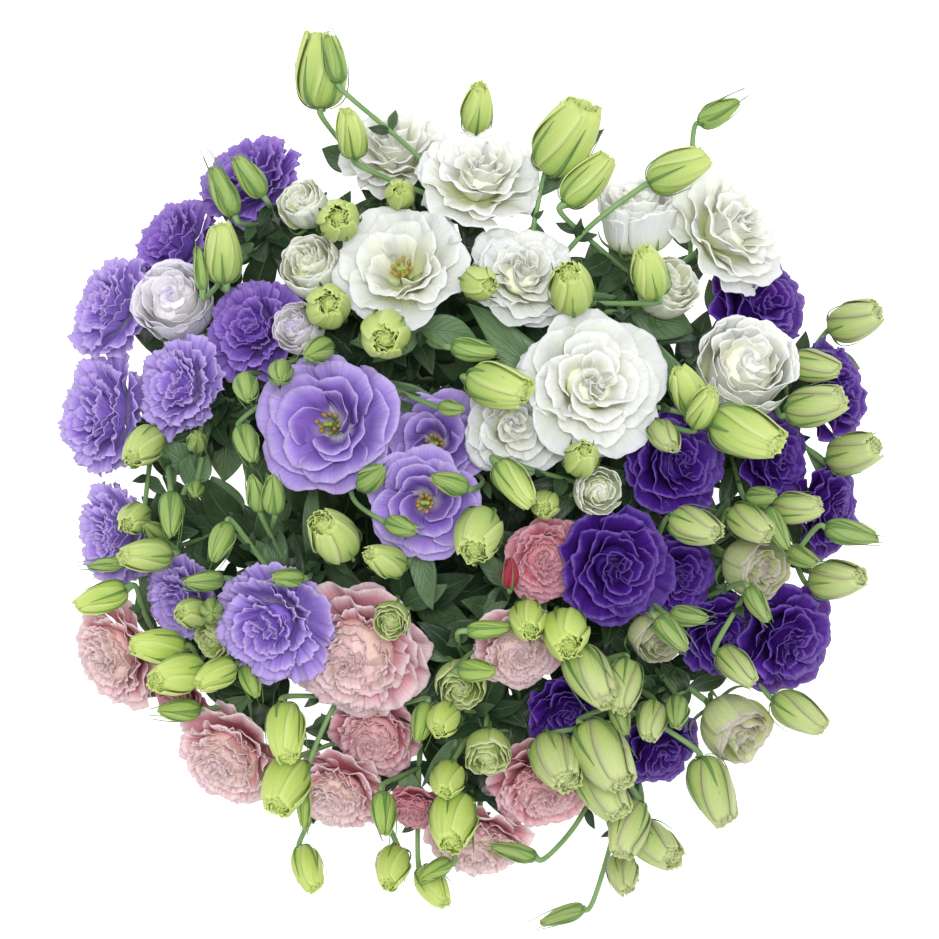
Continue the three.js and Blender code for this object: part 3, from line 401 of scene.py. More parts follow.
def settle(flowers):
    """Pushes flowers apart until none touches another, mostly up or down."""
    count = len(flowers)
    home = np.array([flower.seat for flower in flowers])
    seats = home.copy()
    reach = np.array([flower.reach for flower in flowers])
    weight = np.array([flower.weight for flower in flowers])
    most = max(len(flower.radii) for flower in flowers)
    offsets = np.zeros((count, most, 3))
    radii = np.full((count, most), NO_BALL)
    for i, flower in enumerate(flowers):
        offsets[i, : len(flower.radii)] = flower.offsets
        radii[i, : len(flower.radii)] = flower.radii
    first, second = np.triu_indices(count, 1)
    apart = np.linalg.norm(home[first] - home[second], axis=1)
    near = apart < reach[first] + reach[second] + NEAR_ENOUGH
    first, second = first[near], second[near]
    for step in range(SETTLE_ROUNDS):
        between = seats[first] - seats[second]
        close = np.linalg.norm(between, axis=1) <= reach[first] + reach[second] + SETTLE_GAP
        i, j, between = first[close], second[close], between[close]
        ways = (offsets[i] + between[:, None])[:, :, None] - offsets[j][:, None]
        depths = radii[i][:, :, None] + radii[j][:, None] + SETTLE_GAP - np.linalg.norm(ways, axis=3)
        flat = depths.reshape(len(i), -1)
        deepest = flat.argmax(1)
        depth = flat[np.arange(len(i)), deepest]
        way = ways.reshape(len(i), -1, 3)[np.arange(len(i)), deepest]
        touching = depth > 0
        i, j, depth, way = i[touching], j[touching], depth[touching], way[touching]
        way = way * [SIDEWAYS, SIDEWAYS, 1]
        way *= (depth / np.linalg.norm(way, axis=1))[:, None]
        total = weight[i] + weight[j]
        push = np.zeros((count, 3))
        np.add.at(push, i, way * (weight[i] / total)[:, None])
        np.add.at(push, j, way * (-weight[j] / total)[:, None])
        pull = HOME_PULL * max(0, 1 - step / (PULL_END * SETTLE_ROUNDS))
        seats = seats + push * SETTLE_STEP
        seats += (home - seats) * pull
    for flower, seat in zip(flowers, seats):
        flower.seat = seat


# ---- The ways of stems and stalks ------------------------------------------------------------


class Taken:
    """What later stalks and leaves keep clear of, as balls that a stem or a flower owns."""

    def __init__(self):
        self.points, self.radii, self.stems, self.flowers = [], [], [], []
        self.arrays = None

    def add(self, point, radius, stem=None, flower=None):
        self.points.append(point)
        self.radii.append(radius)
        self.stems.append(-1 if stem is None else stem["number"])
        self.flowers.append(-1 if flower is None else flower.number)
        self.arrays = None

    def read(self):
        if self.arrays is None:
            self.arrays = tuple(map(np.array, (self.points, self.radii, self.stems, self.flowers)))
        return self.arrays

    def add_path(self, points, radius, stem):
        for start, end in zip(points[:-1], points[1:]):
            steps = math.ceil(np.linalg.norm(end - start) / TAKEN_STEP)
            for k in range(steps):
                self.add(mix(start, end, k / steps), radius, stem=stem)


def weights_of(count):
    """How much of each point of a stalk goes into each of the spots that are tested along it."""
    weights = np.zeros(((count - 1) * len(BEND_SPOTS), count))
    for i in range(count - 1):
        for k, share in enumerate(BEND_SPOTS):
            weights[i * len(BEND_SPOTS) + k, i : i + 2] = 1 - share, share
    return weights


def in_the_way(taken, ways, stem, flower):
    """For each way, the balls near it that aren't its own, padded to the same number for all."""
    places, radii, stems, flowers = taken.read()
    start, end = ways[:, :1], ways[:, -1:]
    reach = 0.5 * np.linalg.norm(start - end, axis=2) + BEND_REACH
    at_root = (stems == stem["number"]) & (np.linalg.norm(places - start, axis=2) < ROOT_REACH)
    own = np.where(flowers >= 0, flowers == flower.number, at_root)
    near = np.linalg.norm(places - mix(start, end, 0.5), axis=2) < reach + radii
    keep = near & ~own
    most = max(1, keep.sum(1).max())
    order = np.argsort(~keep, axis=1, kind="stable")[:, :most]
    kept = np.take_along_axis(keep, order, axis=1)
    return places[order], np.where(kept, radii[order], NO_BALL)


def bend_once(ways, radius, others):
    """Bends the inner points of stalks out of what lies in their way, and says how deep each lay."""
    places, radii = others
    weights = weights_of(ways.shape[1])
    steps = (weights @ ways)[:, :, None] - places[:, None]
    apart = np.sqrt(np.einsum("wsmd,wsmd->wsm", steps, steps))
    depth = np.maximum(0, radius + CLEAR + radii[:, None] - apart)
    share = 0.5 * depth / np.maximum(apart, 1e-9)
    push = weights.T @ np.einsum("wsm,wsmd->wsd", share, steps)
    for i in range(1, ways.shape[1] - 1):
        between = mix(ways[:, i - 1], ways[:, i + 1], 0.5)
        ways[:, i] = mix(ways[:, i] + push[:, i], between, BEND_SMOOTHING)
    return depth.sum((1, 2))


def clearest_way(taken, ways, radius, stem, flower):
    """The clearest of several ways to the same flower, each one bent clear."""
    tried = []
    for count in sorted({len(way) for way in ways}):
        group = np.array([way for way in ways if len(way) == count])
        others = in_the_way(taken, group, stem, flower)
        length = np.linalg.norm(group[:, 1:] - group[:, :-1], axis=2).sum(1)
        costs = COST["per_length"] * length + COST["per_bend"] * count
        costs += bend_once(group, radius, others)
        tried += [(cost, way, (places, radii))
                  for cost, way, places, radii in zip(costs, group, *others)]
    tried.sort(key=lambda row: row[0])
    best = []
    for count in sorted({len(way) for way in ways}):
        rows = [row for row in tried[:WAYS_BENT] if len(row[1]) == count]
        if not rows:
            continue
        group = np.array([way for _, way, _ in rows])
        others = [close_by(way, *balls) for _, way, balls in rows]
        most = max(len(radii) for _, radii in others)
        places = np.zeros((len(rows), most, 3))
        radii = np.full((len(rows), most), NO_BALL)
        for k, (some_places, some_radii) in enumerate(others):
            places[k, : len(some_radii)] = some_places
            radii[k, : len(some_radii)] = some_radii
        for _ in range(BEND_ROUNDS):
            blocked = bend_once(group, radius, (places, radii))
        best += [(COST["first"] * row[0] + b, way) for row, b, way in zip(rows, blocked, group)]
    return min(best, key=lambda row: row[0])[1]


def close_by(way, places, radii):
    """The balls that a bent way can meet: the ones within BEND_ROOM of it."""
    spots = weights_of(len(way)) @ way
    apart = np.linalg.norm(spots[:, None] - places, axis=2).min(0)
    near = apart < radii + BEND_ROOM
    return places[near], radii[near]


def fork_stem(stem):
    middle = sum(flower.seat for flower in stem["heads"]) / len(stem["heads"])
    stem["fork"] = mix(V(0, 0, TIE_HEIGHT), middle, FORK_LEVEL)
    stem["towards"] = unit(middle - stem["fork"])


def place_in_tie(stems):
    azimuths = {stem["name"]: math.atan2(stem["fork"][1], stem["fork"][0]) for stem in stems}
    ordered = sorted(stems, key=lambda stem: azimuths[stem["name"]])
    step = 2 * math.pi / len(ordered)
    first = sum(azimuths[stem["name"]] - i * step for i, stem in enumerate(ordered)) / len(ordered)
    for i, stem in enumerate(ordered):
        stem["slot"] = first + i * step - math.radians(RING_TURN)


def bezier(a, b, c, d, steps):
    return cubic((a, b, c, d), np.arange(steps + 1) / steps)[0]


def main_stem(stem):
    ring, slot, fork = stem["ring"], stem["slot"], stem["fork"]
    waist = V(ring["radius"] * math.cos(slot), ring["radius"] * math.sin(slot), TIE_HEIGHT)
    climb = V(-ring["slope"] * math.sin(slot), ring["slope"] * math.cos(slot), 1)
    foot = waist - climb * (TIE_HEIGHT + FOOT_SPARE)
    reach = np.linalg.norm(fork - waist)
    lead = waist + unit(climb) * (MAIN_LEADS[0] * reach)
    follow = fork - stem["towards"] * (MAIN_LEADS[1] * reach)
    return np.vstack([foot, bezier(waist, lead, follow, fork, MAIN_STEPS)])


def stalk_to(flower, start, way, steps):
    reach = np.linalg.norm(start - flower.seat)
    neck = flower.seat - flower.axis * NECK
    lead = start + way * (STALK_LEADS[0] * reach)
    follow = neck - flower.axis * (STALK_LEADS[1] * reach)
    return bezier(start, lead, follow, neck, steps)


def grow_branch(taken, stem, flower, starts, steps, radius):
    def is_free(start):
        return all(np.linalg.norm(other - start[0]) > BRANCH_SPACING for other in stem["branches"])

    free = [start for start in starts if is_free(start)] or starts
    ways = [stalk_to(flower, point, way, count) for point, way in free for count in (steps, steps + 1)]
    flower.stalk = clearest_way(taken, ways, radius, stem, flower)
    stem["branches"].append(flower.stalk[0])
    taken.add_path(flower.stalk, radius, stem)


def starts_between(start, end, shares):
    way = unit(end - start)
    return [(mix(start, end, share), way) for share in shares]


def route_head(taken, stem, flower):
    shares = [1] if flower is stem["heads"][0] else HEAD_SHARES
    before, fork = stem["main"][-2:]
    grow_branch(taken, stem, flower, starts_between(before, fork, shares), HEAD_STEPS, STALK_RADIUS)


def route_bud(taken, stem, bud):
    starts = []
    for head in stem["heads"]:
        for start, end in zip(head.stalk[:-1], head.stalk[1:]):
            starts += starts_between(start, end, BUD_SHARES)
    grow_branch(taken, stem, bud, starts, BUD_STEPS, BUD_STALK_RADIUS)


# ---- Where the leaves are --------------------------------------------------------------------


def clearest_leaf(taken, stem, heel, x, y, width, rises):
    """The clearest of a few rises from heel to tip, for a leaf whose tip is seen at (x, y)."""
    seen = math.hypot(x - heel[0], y - heel[1])
    across = unit(V(y - heel[1], heel[0] - x, 0))
    places, radii, stems, flowers = taken.read()
    other = (flowers >= 0) | (stems != stem["number"])
    places, radii = places[other], radii[other]
    best = None
    for rise in rises:
        tip = V(x, y, heel[2] + seen * math.tan(math.radians(rise)))
        spots = [mix(heel, tip, share) + across * (spread * width)
                 for share in LEAF_SPOTS for spread in LEAF_SPREADS]
        spots = np.array(spots + [tip])
        apart = np.linalg.norm(spots[:, None] - places[None], axis=2)
        blocked = np.maximum(0, LEAF_THICKNESS + radii - apart).sum()
        if best is None or blocked < best["blocked"] - LEAF_CLEARER:
            best = {"heel": heel, "tip": tip, "width": width, "spots": spots, "blocked": blocked}
    for point in best["spots"]:
        taken.add(point, LEAF_THICKNESS, stem=stem)
    return best


def upper_leaf(taken, stem, heel_x, heel_y, tip_x, tip_y, width):
    want = V(heel_x, heel_y, dome_height(heel_x, heel_y) - LEAF_DEPTH)
    spots = [mix(start, end, share)
             for flower in stem["heads"] + stem["bud_items"]
             for start, end in zip(flower.stalk[:-1], flower.stalk[1:])
             for share in LEAF_JOINTS]
    heel = min(spots, key=lambda spot: np.linalg.norm(spot - want))
    return clearest_leaf(taken, stem, heel, tip_x, tip_y, width, LEAF_RISES)


def lower_leaf(taken, stem, segment, turn, length, width):
    heel = mix(stem["main"][segment], stem["main"][segment + 1], 0.5)
    azimuth = math.atan2(heel[1], heel[0]) + math.radians(turn)
    x = heel[0] + length * math.cos(azimuth)
    y = heel[1] + length * math.sin(azimuth)
    return clearest_leaf(taken, stem, heel, x, y, width, LOWER_RISES)


def lay_out(stems):
    """Gives every stem its flowers, main stem, stalks and leaves."""
    for number, stem in enumerate(stems):
        stem["number"] = number
        stem["heads"] = [bloom_at("bloom", *row) for row in stem["blooms"]]
        stem["heads"] += [bloom_at("opening", x, y, radius, "opening", drop)
                          for x, y, radius, drop in stem["opening"]]
        stem["bud_items"] = [bud_at(*row) for row in stem["buds"]]
        stem["branches"] = []
    flowers = [flower for stem in stems for flower in stem["heads"] + stem["bud_items"]]
    settle(flowers)
    taken = Taken()
    for number, flower in enumerate(flowers):
        flower.number = number
        for offset, radius in flower.balls:
            taken.add(flower.seat + offset, radius, flower=flower)
    for stem in stems:
        fork_stem(stem)
    for ring in (INNER_RING, OUTER_RING):
        place_in_tie([stem for stem in stems if stem["ring"] is ring])
    for stem in stems:
        stem["main"] = main_stem(stem)
        taken.add_path(stem["main"], STEM_RADIUS, stem)
    for stem in stems:
        for flower in stem["heads"]:
            route_head(taken, stem, flower)
    for stem in stems:
        for bud in stem["bud_items"]:
            route_bud(taken, stem, bud)
    for stem in stems:
        stem["leaf_places"] = [upper_leaf(taken, stem, *row) for row in stem["leaves"]]
        if stem["ring"] is OUTER_RING:
            stem["leaf_places"] += [lower_leaf(taken, stem, *row) for row in LOWER_LEAVES]


# ---- Meshes ----------------------------------------------------------------------------------

MM = 0.001
TINY = 1e-9  # keeps a division from failing
EGG_END = 0.12  # how far the first and last ring of an egg lie from its ends, in radians
EGG_TIP = 0.25  # and the same for their radii, which leaves its ends a little blunt


class Shape:
    """Gathers the sheets and tubes of one piece, with the numbers that its materials read."""

    def __init__(self):
        self.points, self.quads, self.triangles = [], [], []
        self.uvs, self.depths, self.tones = [], [], []
        self.quad_facts, self.triangle_facts = [], []
        self.count = 0

    def add(self, points, uv, depth, tone):
        first = self.count
        self.points.append(points)
        self.uvs.append(uv)
        self.depths.append(np.broadcast_to(depth, len(points)))
        self.tones.append(np.full(len(points), tone))
        self.count += len(points)
        return first

    def add_quads(self, quads, part, smooth=True):
        self.quads.append(quads)
        self.quad_facts.append(np.tile([part, smooth], (len(quads), 1)))

    def add_triangles(self, triangles, part, smooth=True):
        self.triangles.append(triangles)
        self.triangle_facts.append(np.tile([part, smooth], (len(triangles), 1)))

    def sheet(self, points, thickness, part, depth=0.0, tone=0.0):
        """A closed thin sheet around a grid of points, with crisp edges."""
        rows, columns = points.shape[:2]
        normal = np.cross(np.gradient(points, axis=1), np.gradient(points, axis=0))
        normal /= np.maximum(np.linalg.norm(normal, axis=2, keepdims=True), TINY)
        offset = normal * (np.broadcast_to(thickness, (rows, columns))[:, :, None] / 2)
        size = rows * columns
        across, along = np.meshgrid(np.linspace(0, 1, columns), np.linspace(0, 1, rows))
        uv = np.stack([across.ravel(), along.ravel()], axis=1)
        faces = [(points + offset).reshape(size, 3), (points - offset).reshape(size, 3)]
        depths = np.broadcast_to(depth, (rows, columns)).ravel()
        first = self.add(np.vstack(faces), np.vstack([uv, uv]), np.tile(depths, 2), tone)
        index = np.arange(size).reshape(rows, columns) + first
        corners = [index[:-1, :-1], index[:-1, 1:], index[1:, 1:], index[1:, :-1]]
        front = np.stack([corner.ravel() for corner in corners], axis=1)
        self.add_quads(front, part)
        self.add_quads(front[:, ::-1] + size, part)
        loop = np.concatenate([index[0, :-1], index[:-1, -1], index[-1, :0:-1], index[:0:-1, 0]])
        after = np.roll(loop, -1)
        self.add_quads(np.stack([after, loop, loop + size, after + size], axis=1), part, smooth=False)

    def tube(self, points, radii, sides, part, depth=0.0, tone=0.0, reference=(1, 0.3, 0.1)):
        """A closed tube along points, without twist."""
        rows = len(points)
        ways = np.gradient(points, axis=0)
        turns = spoke(np.arange(sides), sides)
        rings = []
        for point, way, radius in zip(points, ways, radii):
            side, other = square_to(unit(way), reference)
            reference = side
            circle = np.outer(np.cos(turns), side) + np.outer(np.sin(turns), other)
            rings.append(point + circle * radius)
        along = np.repeat(np.linspace(0, 1, rows), sides)
        around = np.tile(np.arange(sides) / sides, rows)
        uv = np.stack([around, along], axis=1)
        depths = np.repeat(np.broadcast_to(depth, rows), sides)
        first = self.add(np.vstack(rings), uv, depths, tone)
        index = np.arange(rows * sides).reshape(rows, sides) + first
        beside = np.roll(index, -1, axis=1)
        corners = [index[:-1], beside[:-1], beside[1:], index[1:]]
        self.add_quads(np.stack([corner.ravel() for corner in corners], axis=1), part)
        ends = self.add(np.array([points[0], points[-1]]), np.array([[0.5, 0], [0.5, 1]]),
                        np.array([depths[0], depths[-1]]), tone)
        start = np.stack([beside[0], index[0], np.full(sides, ends)], axis=1)
        finish = np.stack([index[-1], beside[-1], np.full(sides, ends + 1)], axis=1)
        self.add_triangles(np.vstack([start, finish]), part, smooth=False)

    def lump(self, foot, tip, radius, part, depth=0.0, tone=0.0, sides=8, rows=7):
        """An egg from foot to tip."""
        shares = 0.5 - 0.5 * np.cos(np.linspace(EGG_END, math.pi - EGG_END, rows))
        points = foot + (tip - foot) * shares[:, None]
        radii = radius * np.sin(np.linspace(EGG_TIP, math.pi - EGG_TIP, rows))
        self.tube(points, radii, sides, part, depth, tone)

    def build(self, name, materials, shift):
        """The Blender object, in metres in the frame's own place."""
        points = (np.vstack(self.points) + shift) * MM
        uvs = np.vstack(self.uvs)
        quads = np.vstack(self.quads)
        triangles = np.vstack(self.triangles)
        facts = np.vstack(self.quad_facts + self.triangle_facts)
        corners = np.concatenate([quads.ravel(), triangles.ravel()]).astype(np.int32)
        sizes = np.concatenate([np.full(len(quads), 4), np.full(len(triangles), 3)])
        starts = np.concatenate([[0], np.cumsum(sizes)[:-1]]).astype(np.int32)
        mesh = bpy.data.meshes.new(name)
        mesh.vertices.add(len(points))
        mesh.vertices.foreach_set("co", points.astype(np.float32).ravel())
        mesh.loops.add(len(corners))
        mesh.loops.foreach_set("vertex_index", corners)
        mesh.polygons.add(len(sizes))
        mesh.polygons.foreach_set("loop_start", starts)
        for material in materials:
            mesh.materials.append(material)
        mesh.polygons.foreach_set("material_index", facts[:, 0].astype(np.int32))
        mesh.polygons.foreach_set("use_smooth", facts[:, 1].astype(bool))
        layer = mesh.uv_layers.new(name="petal")
        layer.data.foreach_set("uv", uvs[corners].astype(np.float32).ravel())
        for fact, values in (("depth", self.depths), ("tone", self.tones)):
            attribute = mesh.attributes.new(fact, "FLOAT", "POINT")
            attribute.data.foreach_set("value", np.concatenate(values).astype(np.float32))
        mesh.update(calc_edges=True)
        return add_object(name, mesh)


def ease(line, rounds):
    """Evens out a row of numbers or points between its two ends."""
    for _ in range(rounds):
        line[1:-1] = (line[:-2] + 2 * line[1:-1] + line[2:]) / 4


def smooth_path(points, steps, rounds=0):
    """A smooth line through points, with steps between one and the next and its bends eased."""
    points = np.array(points)
    padded = np.vstack([2 * points[0] - points[1], points, 2 * points[-1] - points[-2]])
    t = (np.arange(steps) / steps)[:, None]
    line = []
    for a, b, c, d in zip(padded[:-3], padded[1:-2], padded[2:-1], padded[3:]):
        bent = 2 * a - 5 * b + 4 * c - d + t * (3 * (b - c) + d - a)
        line.append(b + 0.5 * t * (c - a + t * bent))
    line = np.vstack(line + [points[-1:]])
    ease(line, rounds)
    return line


# ---- Petals ----------------------------------------------------------------------------------

WIDEST_AT = 0.65  # share of a petal's length at which it is widest
CORNER_POWER = 2.6  # how squarely the sides of a petal turn into its top
PETAL_TAPER = 0.6  # how much of its thickness a petal loses towards its rim
SEPAL_TIP = 0.04  # width of a sepal's tip as a share of its foot


def net(rows, columns):
    """Across, from -1 to 1, and along, from 0 to 1, for the points of a sheet."""
    return np.linspace(-1, 1, columns)[None, :], np.linspace(0, 1, rows)[:, None]


def cubic(controls, t):
    """Points and directions along a cubic curve."""
    a, b, c, d = (np.array(control, float) for control in controls)
    t = t[..., None]
    place = (1 - t) ** 3 * a + 3 * (1 - t) ** 2 * t * b + 3 * (1 - t) * t**2 * c + t**3 * d
    slope = (1 - t) ** 2 * (b - a) + 2 * (1 - t) * t * (c - b) + t**2 * (d - c)
    return place, slope / np.maximum(np.linalg.norm(slope, axis=-1, keepdims=True), TINY)


def waves(rng, across, along, pitches):
    """A sum of waves across a petal, each (number of waves, height), that drift along it."""
    total = 0
    for number, height in pitches:
        phase, drift = rng.uniform(0, 2 * math.pi), rng.uniform(-1.2, 1.2)
        total = total + height * np.sin(math.pi * number * across + phase + drift * along)
    return total


def petal(shape, flower, scale, rng, azimuth, spread, curve, look, depth, part):
    """One petal. curve is its profile in the plane of the flower's axis, as (radius, height)."""
    across, along = net(*look["grid"])
    fringe = look["fringe"] * waves(rng, across, 0, look["teeth"])
    v = along * (1 - look["corner"] * np.abs(across) ** CORNER_POWER + fringe)
    place, slope = cubic(curve, v)
    grown = np.clip(v, 0, 1.1)
    ruffle = look["ruffle"] * grown ** look["ruffle_power"] * waves(rng, across, along, look["waves"])
    bend = ruffle + look["curl"] * across**2 * grown**2
    swelling = np.sin(0.5 * math.pi * np.clip(v / WIDEST_AT, 0, 1))
    half = spread * (look["waist"] + (1 - look["waist"]) * swelling)
    angle = azimuth + look["twist"] * v + across * half
    tuck = look["tuck"] * across * np.minimum(grown * 2, 1)
    sway = look["sway"] * rng.uniform(-1, 1) * across * grown
    radius = (place[..., 0] - slope[..., 1] * bend + tuck)[..., None] * scale
    height = (place[..., 1] + slope[..., 0] * bend + sway)[..., None] * scale
    points = flower.seat + flower.axis * height + outward_from(flower.axis, angle) * radius
    thickness = look["thickness"] * (1 - PETAL_TAPER * along) * np.ones_like(across)
    shape.sheet(points, thickness, part, depth, rng.uniform(0, 1))


def sepal(shape, flower, scale, azimuth, curve, width, look, tone):
    """One thin pointed sepal that hugs a flower and frees its tip. Width is in millimetres."""
    across, along = net(*look["grid"])
    place, _ = cubic(curve, along * np.ones_like(across))
    outline = np.maximum((1 - along) ** look["point"], SEPAL_TIP) * (0.75 + 0.5 * along)
    radius = place[..., 0] * scale
    angle = azimuth + look["twist"] * along + across * outline * width / 2 / np.maximum(radius, 0.8)
    lift = look["keel"] * (1 - np.abs(across)) * outline
    outward = outward_from(flower.axis, angle) * (radius + lift)[..., None]
    points = flower.seat + flower.axis * (place[..., 1:] * scale) + outward
    shape.sheet(points, look["thickness"] * (1 - 0.5 * along), PART["sepal"], tone=tone)


# The looks of petals. waist is the width at the foot as a share of the widest, corner rounds off
# the top, teeth and fringe fray it, curl lifts the sides, tuck sets one side under the next petal,
# and sway tips it to one side. Waves and teeth are (half waves across, height).
BROAD = {
    "grid": (18, 27), "waist": 0.5, "corner": 0.2, "fringe": 0.012, "teeth": ((4, 0.6), (9, 0.4)),
    "ruffle": 0.085, "ruffle_power": 2.4, "waves": ((1.6, 0.6), (3.1, 0.4), (6, 0.12)),
    "curl": 0.03, "tuck": 0.05, "twist": 0.0, "sway": 0.09, "thickness": 0.5,
}
INNER = BROAD | {
    "waist": 0.65, "corner": 0.14, "ruffle": 0.07, "curl": 0.1, "tuck": 0.09,
    "twist": 0.3, "waves": ((1.3, 0.6), (2.9, 0.4), (7, 0.08)), "sway": 0.1,
}
CRINKLED = BROAD | {
    "grid": (14, 29), "waist": 0.6, "corner": 0.1, "fringe": 0.02, "teeth": ((5, 0.5), (11, 0.5)),
    "ruffle": 0.085, "ruffle_power": 2.2, "curl": 0.05, "tuck": 0.07, "twist": 0.25, "sway": 0.08,
    "waves": ((1.7, 0.5), (4.3, 0.35), (8.5, 0.15)),
}
FRILLED = BROAD | {
    "grid": (18, 37), "corner": 0.16, "fringe": 0.028, "teeth": ((5, 0.5), (11, 0.35), (18, 0.25)),
    "ruffle": 0.12, "ruffle_power": 2.8, "waves": ((1.4, 0.5), (3.7, 0.35), (8, 0.22), (14, 0.1)),
    "sway": 0.13,
}
FRILLED_INNER = FRILLED | {
    "grid": (15, 31), "waist": 0.6, "ruffle": 0.11, "ruffle_power": 2, "curl": 0.06, "twist": 0.2,
}
CUP = BROAD | {
    "grid": (20, 25), "waist": 0.6, "corner": 0.14, "ruffle": 0.07, "ruffle_power": 5, "sway": 0.05,
    "twist": 0.12,
}

# The petals of each flower form, from the outside in, as (number of petals, rim radius,
# rim height, flare of the rim, half width in radians, look), in multiples of the radius.
LAYERS = {
    "rose": (
        (3, 1.06, 0.16, 0.46, 0.62, BROAD), (5, 1.14, 0.4, 0.44, 0.78, BROAD),
        (5, 0.97, 0.56, 0.4, 0.8, BROAD), (4, 0.77, 0.68, 0.36, 0.98, BROAD),
        (4, 0.58, 0.74, 0.28, 1.0, INNER), (3, 0.41, 0.79, 0.22, 1.2, INNER),
        (3, 0.25, 0.8, 0.14, 1.2, INNER), (2, 0.12, 0.76, 0.08, 1.6, INNER),
    ),
    "ruffle": (
        (5, 1.04, 0.08, 0.48, 0.66, FRILLED), (5, 1.16, 0.34, 0.42, 0.7, FRILLED),
        (5, 1.0, 0.58, 0.4, 0.72, FRILLED), (5, 0.78, 0.7, 0.34, 0.76, FRILLED),
        (4, 0.56, 0.74, 0.26, 0.9, FRILLED_INNER), (3, 0.36, 0.76, 0.18, 1.1, FRILLED_INNER),
        (2, 0.17, 0.72, 0.08, 1.5, FRILLED_INNER),
    ),
    "carnation": (
        (4, 1.04, 0.1, 0.46, 0.66, BROAD), (5, 1.15, 0.34, 0.42, 0.74, BROAD),
        (5, 1.0, 0.5, 0.4, 0.74, BROAD), (5, 0.86, 0.6, 0.34, 0.76, FRILLED),
        (5, 0.72, 0.69, 0.26, 0.74, CRINKLED), (5, 0.59, 0.76, 0.22, 0.74, CRINKLED),
        (5, 0.46, 0.82, 0.19, 0.76, CRINKLED), (4, 0.33, 0.86, 0.16, 0.9, CRINKLED),
        (4, 0.2, 0.88, 0.11, 0.9, CRINKLED), (2, 0.09, 0.87, 0.06, 1.5, CRINKLED),
    ),
    "open": (
        (5, 1.12, 0.46, 0.44, 0.8, BROAD), (5, 0.95, 0.6, 0.4, 0.8, BROAD),
        (4, 0.7, 0.66, 0.32, 0.98, BROAD), (3, 0.48, 0.62, 0.18, 1.0, INNER),
    ),
    "goblet": (
        (3, 1.08, 1.4, 0.3, 0.9, CUP), (4, 1.0, 1.48, 0.26, 0.98, CUP),
        (4, 0.86, 1.54, 0.22, 1.0, CUP), (4, 0.69, 1.58, 0.2, 0.98, CUP),
        (4, 0.5, 1.6, 0.17, 0.95, INNER), (3, 0.31, 1.61, 0.13, 1.2, INNER),
        (2, 0.14, 1.58, 0.08, 1.5, INNER),
    ),
    "opening": (
        (5, 0.8, 1.3, -0.08, 0.82, CUP), (4, 0.67, 1.38, -0.04, 1.0, CUP),
        (4, 0.52, 1.45, 0.04, 0.96, INNER), (4, 0.36, 1.48, 0.06, 0.95, CRINKLED),
        (3, 0.2, 1.46, 0.06, 1.2, CRINKLED),
    ),
}
TALL = ("goblet", "opening")

HEART_SHIFT = 0.1  # how far the innermost petals may stand off the axis
FULLNESS = 1.07  # how far soft petals reach past the plain radius
OPENING_GRID = (13, 17)  # rows and columns of points in a petal of a half-open bud

# The plain core, in place of crumpled petals, that fills the heart of each form up to just below the
# rims of the others, as (radius, height of the top), in multiples of the flower's radius.
FILLING = {
    "rose": (0.36, 0.54), "ruffle": (0.36, 0.5), "carnation": (0.6, 0.74),
    "goblet": (0.62, 1.46), "opening": (0.5, 1.36),
}

# The material of each part, by its place in the piece's list of materials.
PART = {
    "petal": 0, "filament": 1, "anther": 2, "stigma": 1, "twine": 0,
    "stalk": 0, "bud": 1, "leaf": 2, "sepal": 3, "opening": 4, "red bud": 5,
}


def petal_curve(form, rim, height, flare):
    """A petal's profile: out along the underside of the flower, then up to its rim."""
    if form in TALL:
        foot, belly = (0.14 * rim + 0.04, 0.06), (1.08 * rim, 0.14)
        return foot, belly, (rim - flare, 0.7 * height), (rim, height)
    foot, belly = (0.1 * rim + 0.03, 0.03), (0.52 * rim + 0.06, 0.04)
    return foot, belly, (rim - flare, height * (0.62 + 0.5 * max(flare, 0))), (rim, height)


def dress_bloom(shape, flower, rng, part, frill=1.0):
    """All the petals of a bloom or a half-open bud. frill is how much more their edges wave."""
    layers = LAYERS[flower.form]
    last = len(layers) - 1
    turn = rng.uniform(0, 2 * math.pi)
    side, other = square_to(flower.axis)
    shift = rng.uniform(-HEART_SHIFT, HEART_SHIFT, 2) * flower.radius
    seat = flower.seat
    for level, (number, rim, height, flare, spread, look) in enumerate(layers):
        turn += math.pi / number + rng.uniform(-0.2, 0.2)
        ruffle = look["ruffle"] * (0.3 + 0.7 * min(rim, 1)) * frill
        look = look | {"ruffle": ruffle, "fringe": look["fringe"] * frill}
        if flower.kind == "opening":
            look["grid"] = OPENING_GRID
        off_axis = max(0, 1 - rim)
        flower.seat = seat + (side * shift[0] + other * shift[1]) * off_axis
        for k in range(number):
            azimuth = turn + spoke(k, number) + rng.uniform(-0.2, 0.2)
            reach = rim * rng.uniform(0.88, 1.0)
            rise = height * rng.uniform(0.88, 1.06)
            curve = petal_curve(flower.form, reach, rise, flare + rng.uniform(-0.08, 0.08))
            petal(shape, flower, FULLNESS * flower.radius, rng, azimuth,
                  spread * rng.uniform(0.88, 1.1), curve, look, level / last, part)
    flower.seat = seat
    if flower.form == "open":
        dress_heart(shape, flower, rng)
        return
    radius, top = FILLING[flower.form]
    foot = seat + flower.axis * (0.1 * flower.radius)
    tip = seat + flower.axis * (top * flower.radius)
    shape.lump(foot, tip, radius * flower.radius, part, depth=1.0, tone=0.5, sides=16, rows=11)


STAMENS = 9
FILAMENT_RADIUS = 0.35
ANTHER = (1.9, 1.15)  # half its length, and its radius
STYLE_RADII = (1.9, 1.1)  # at its foot and at its top


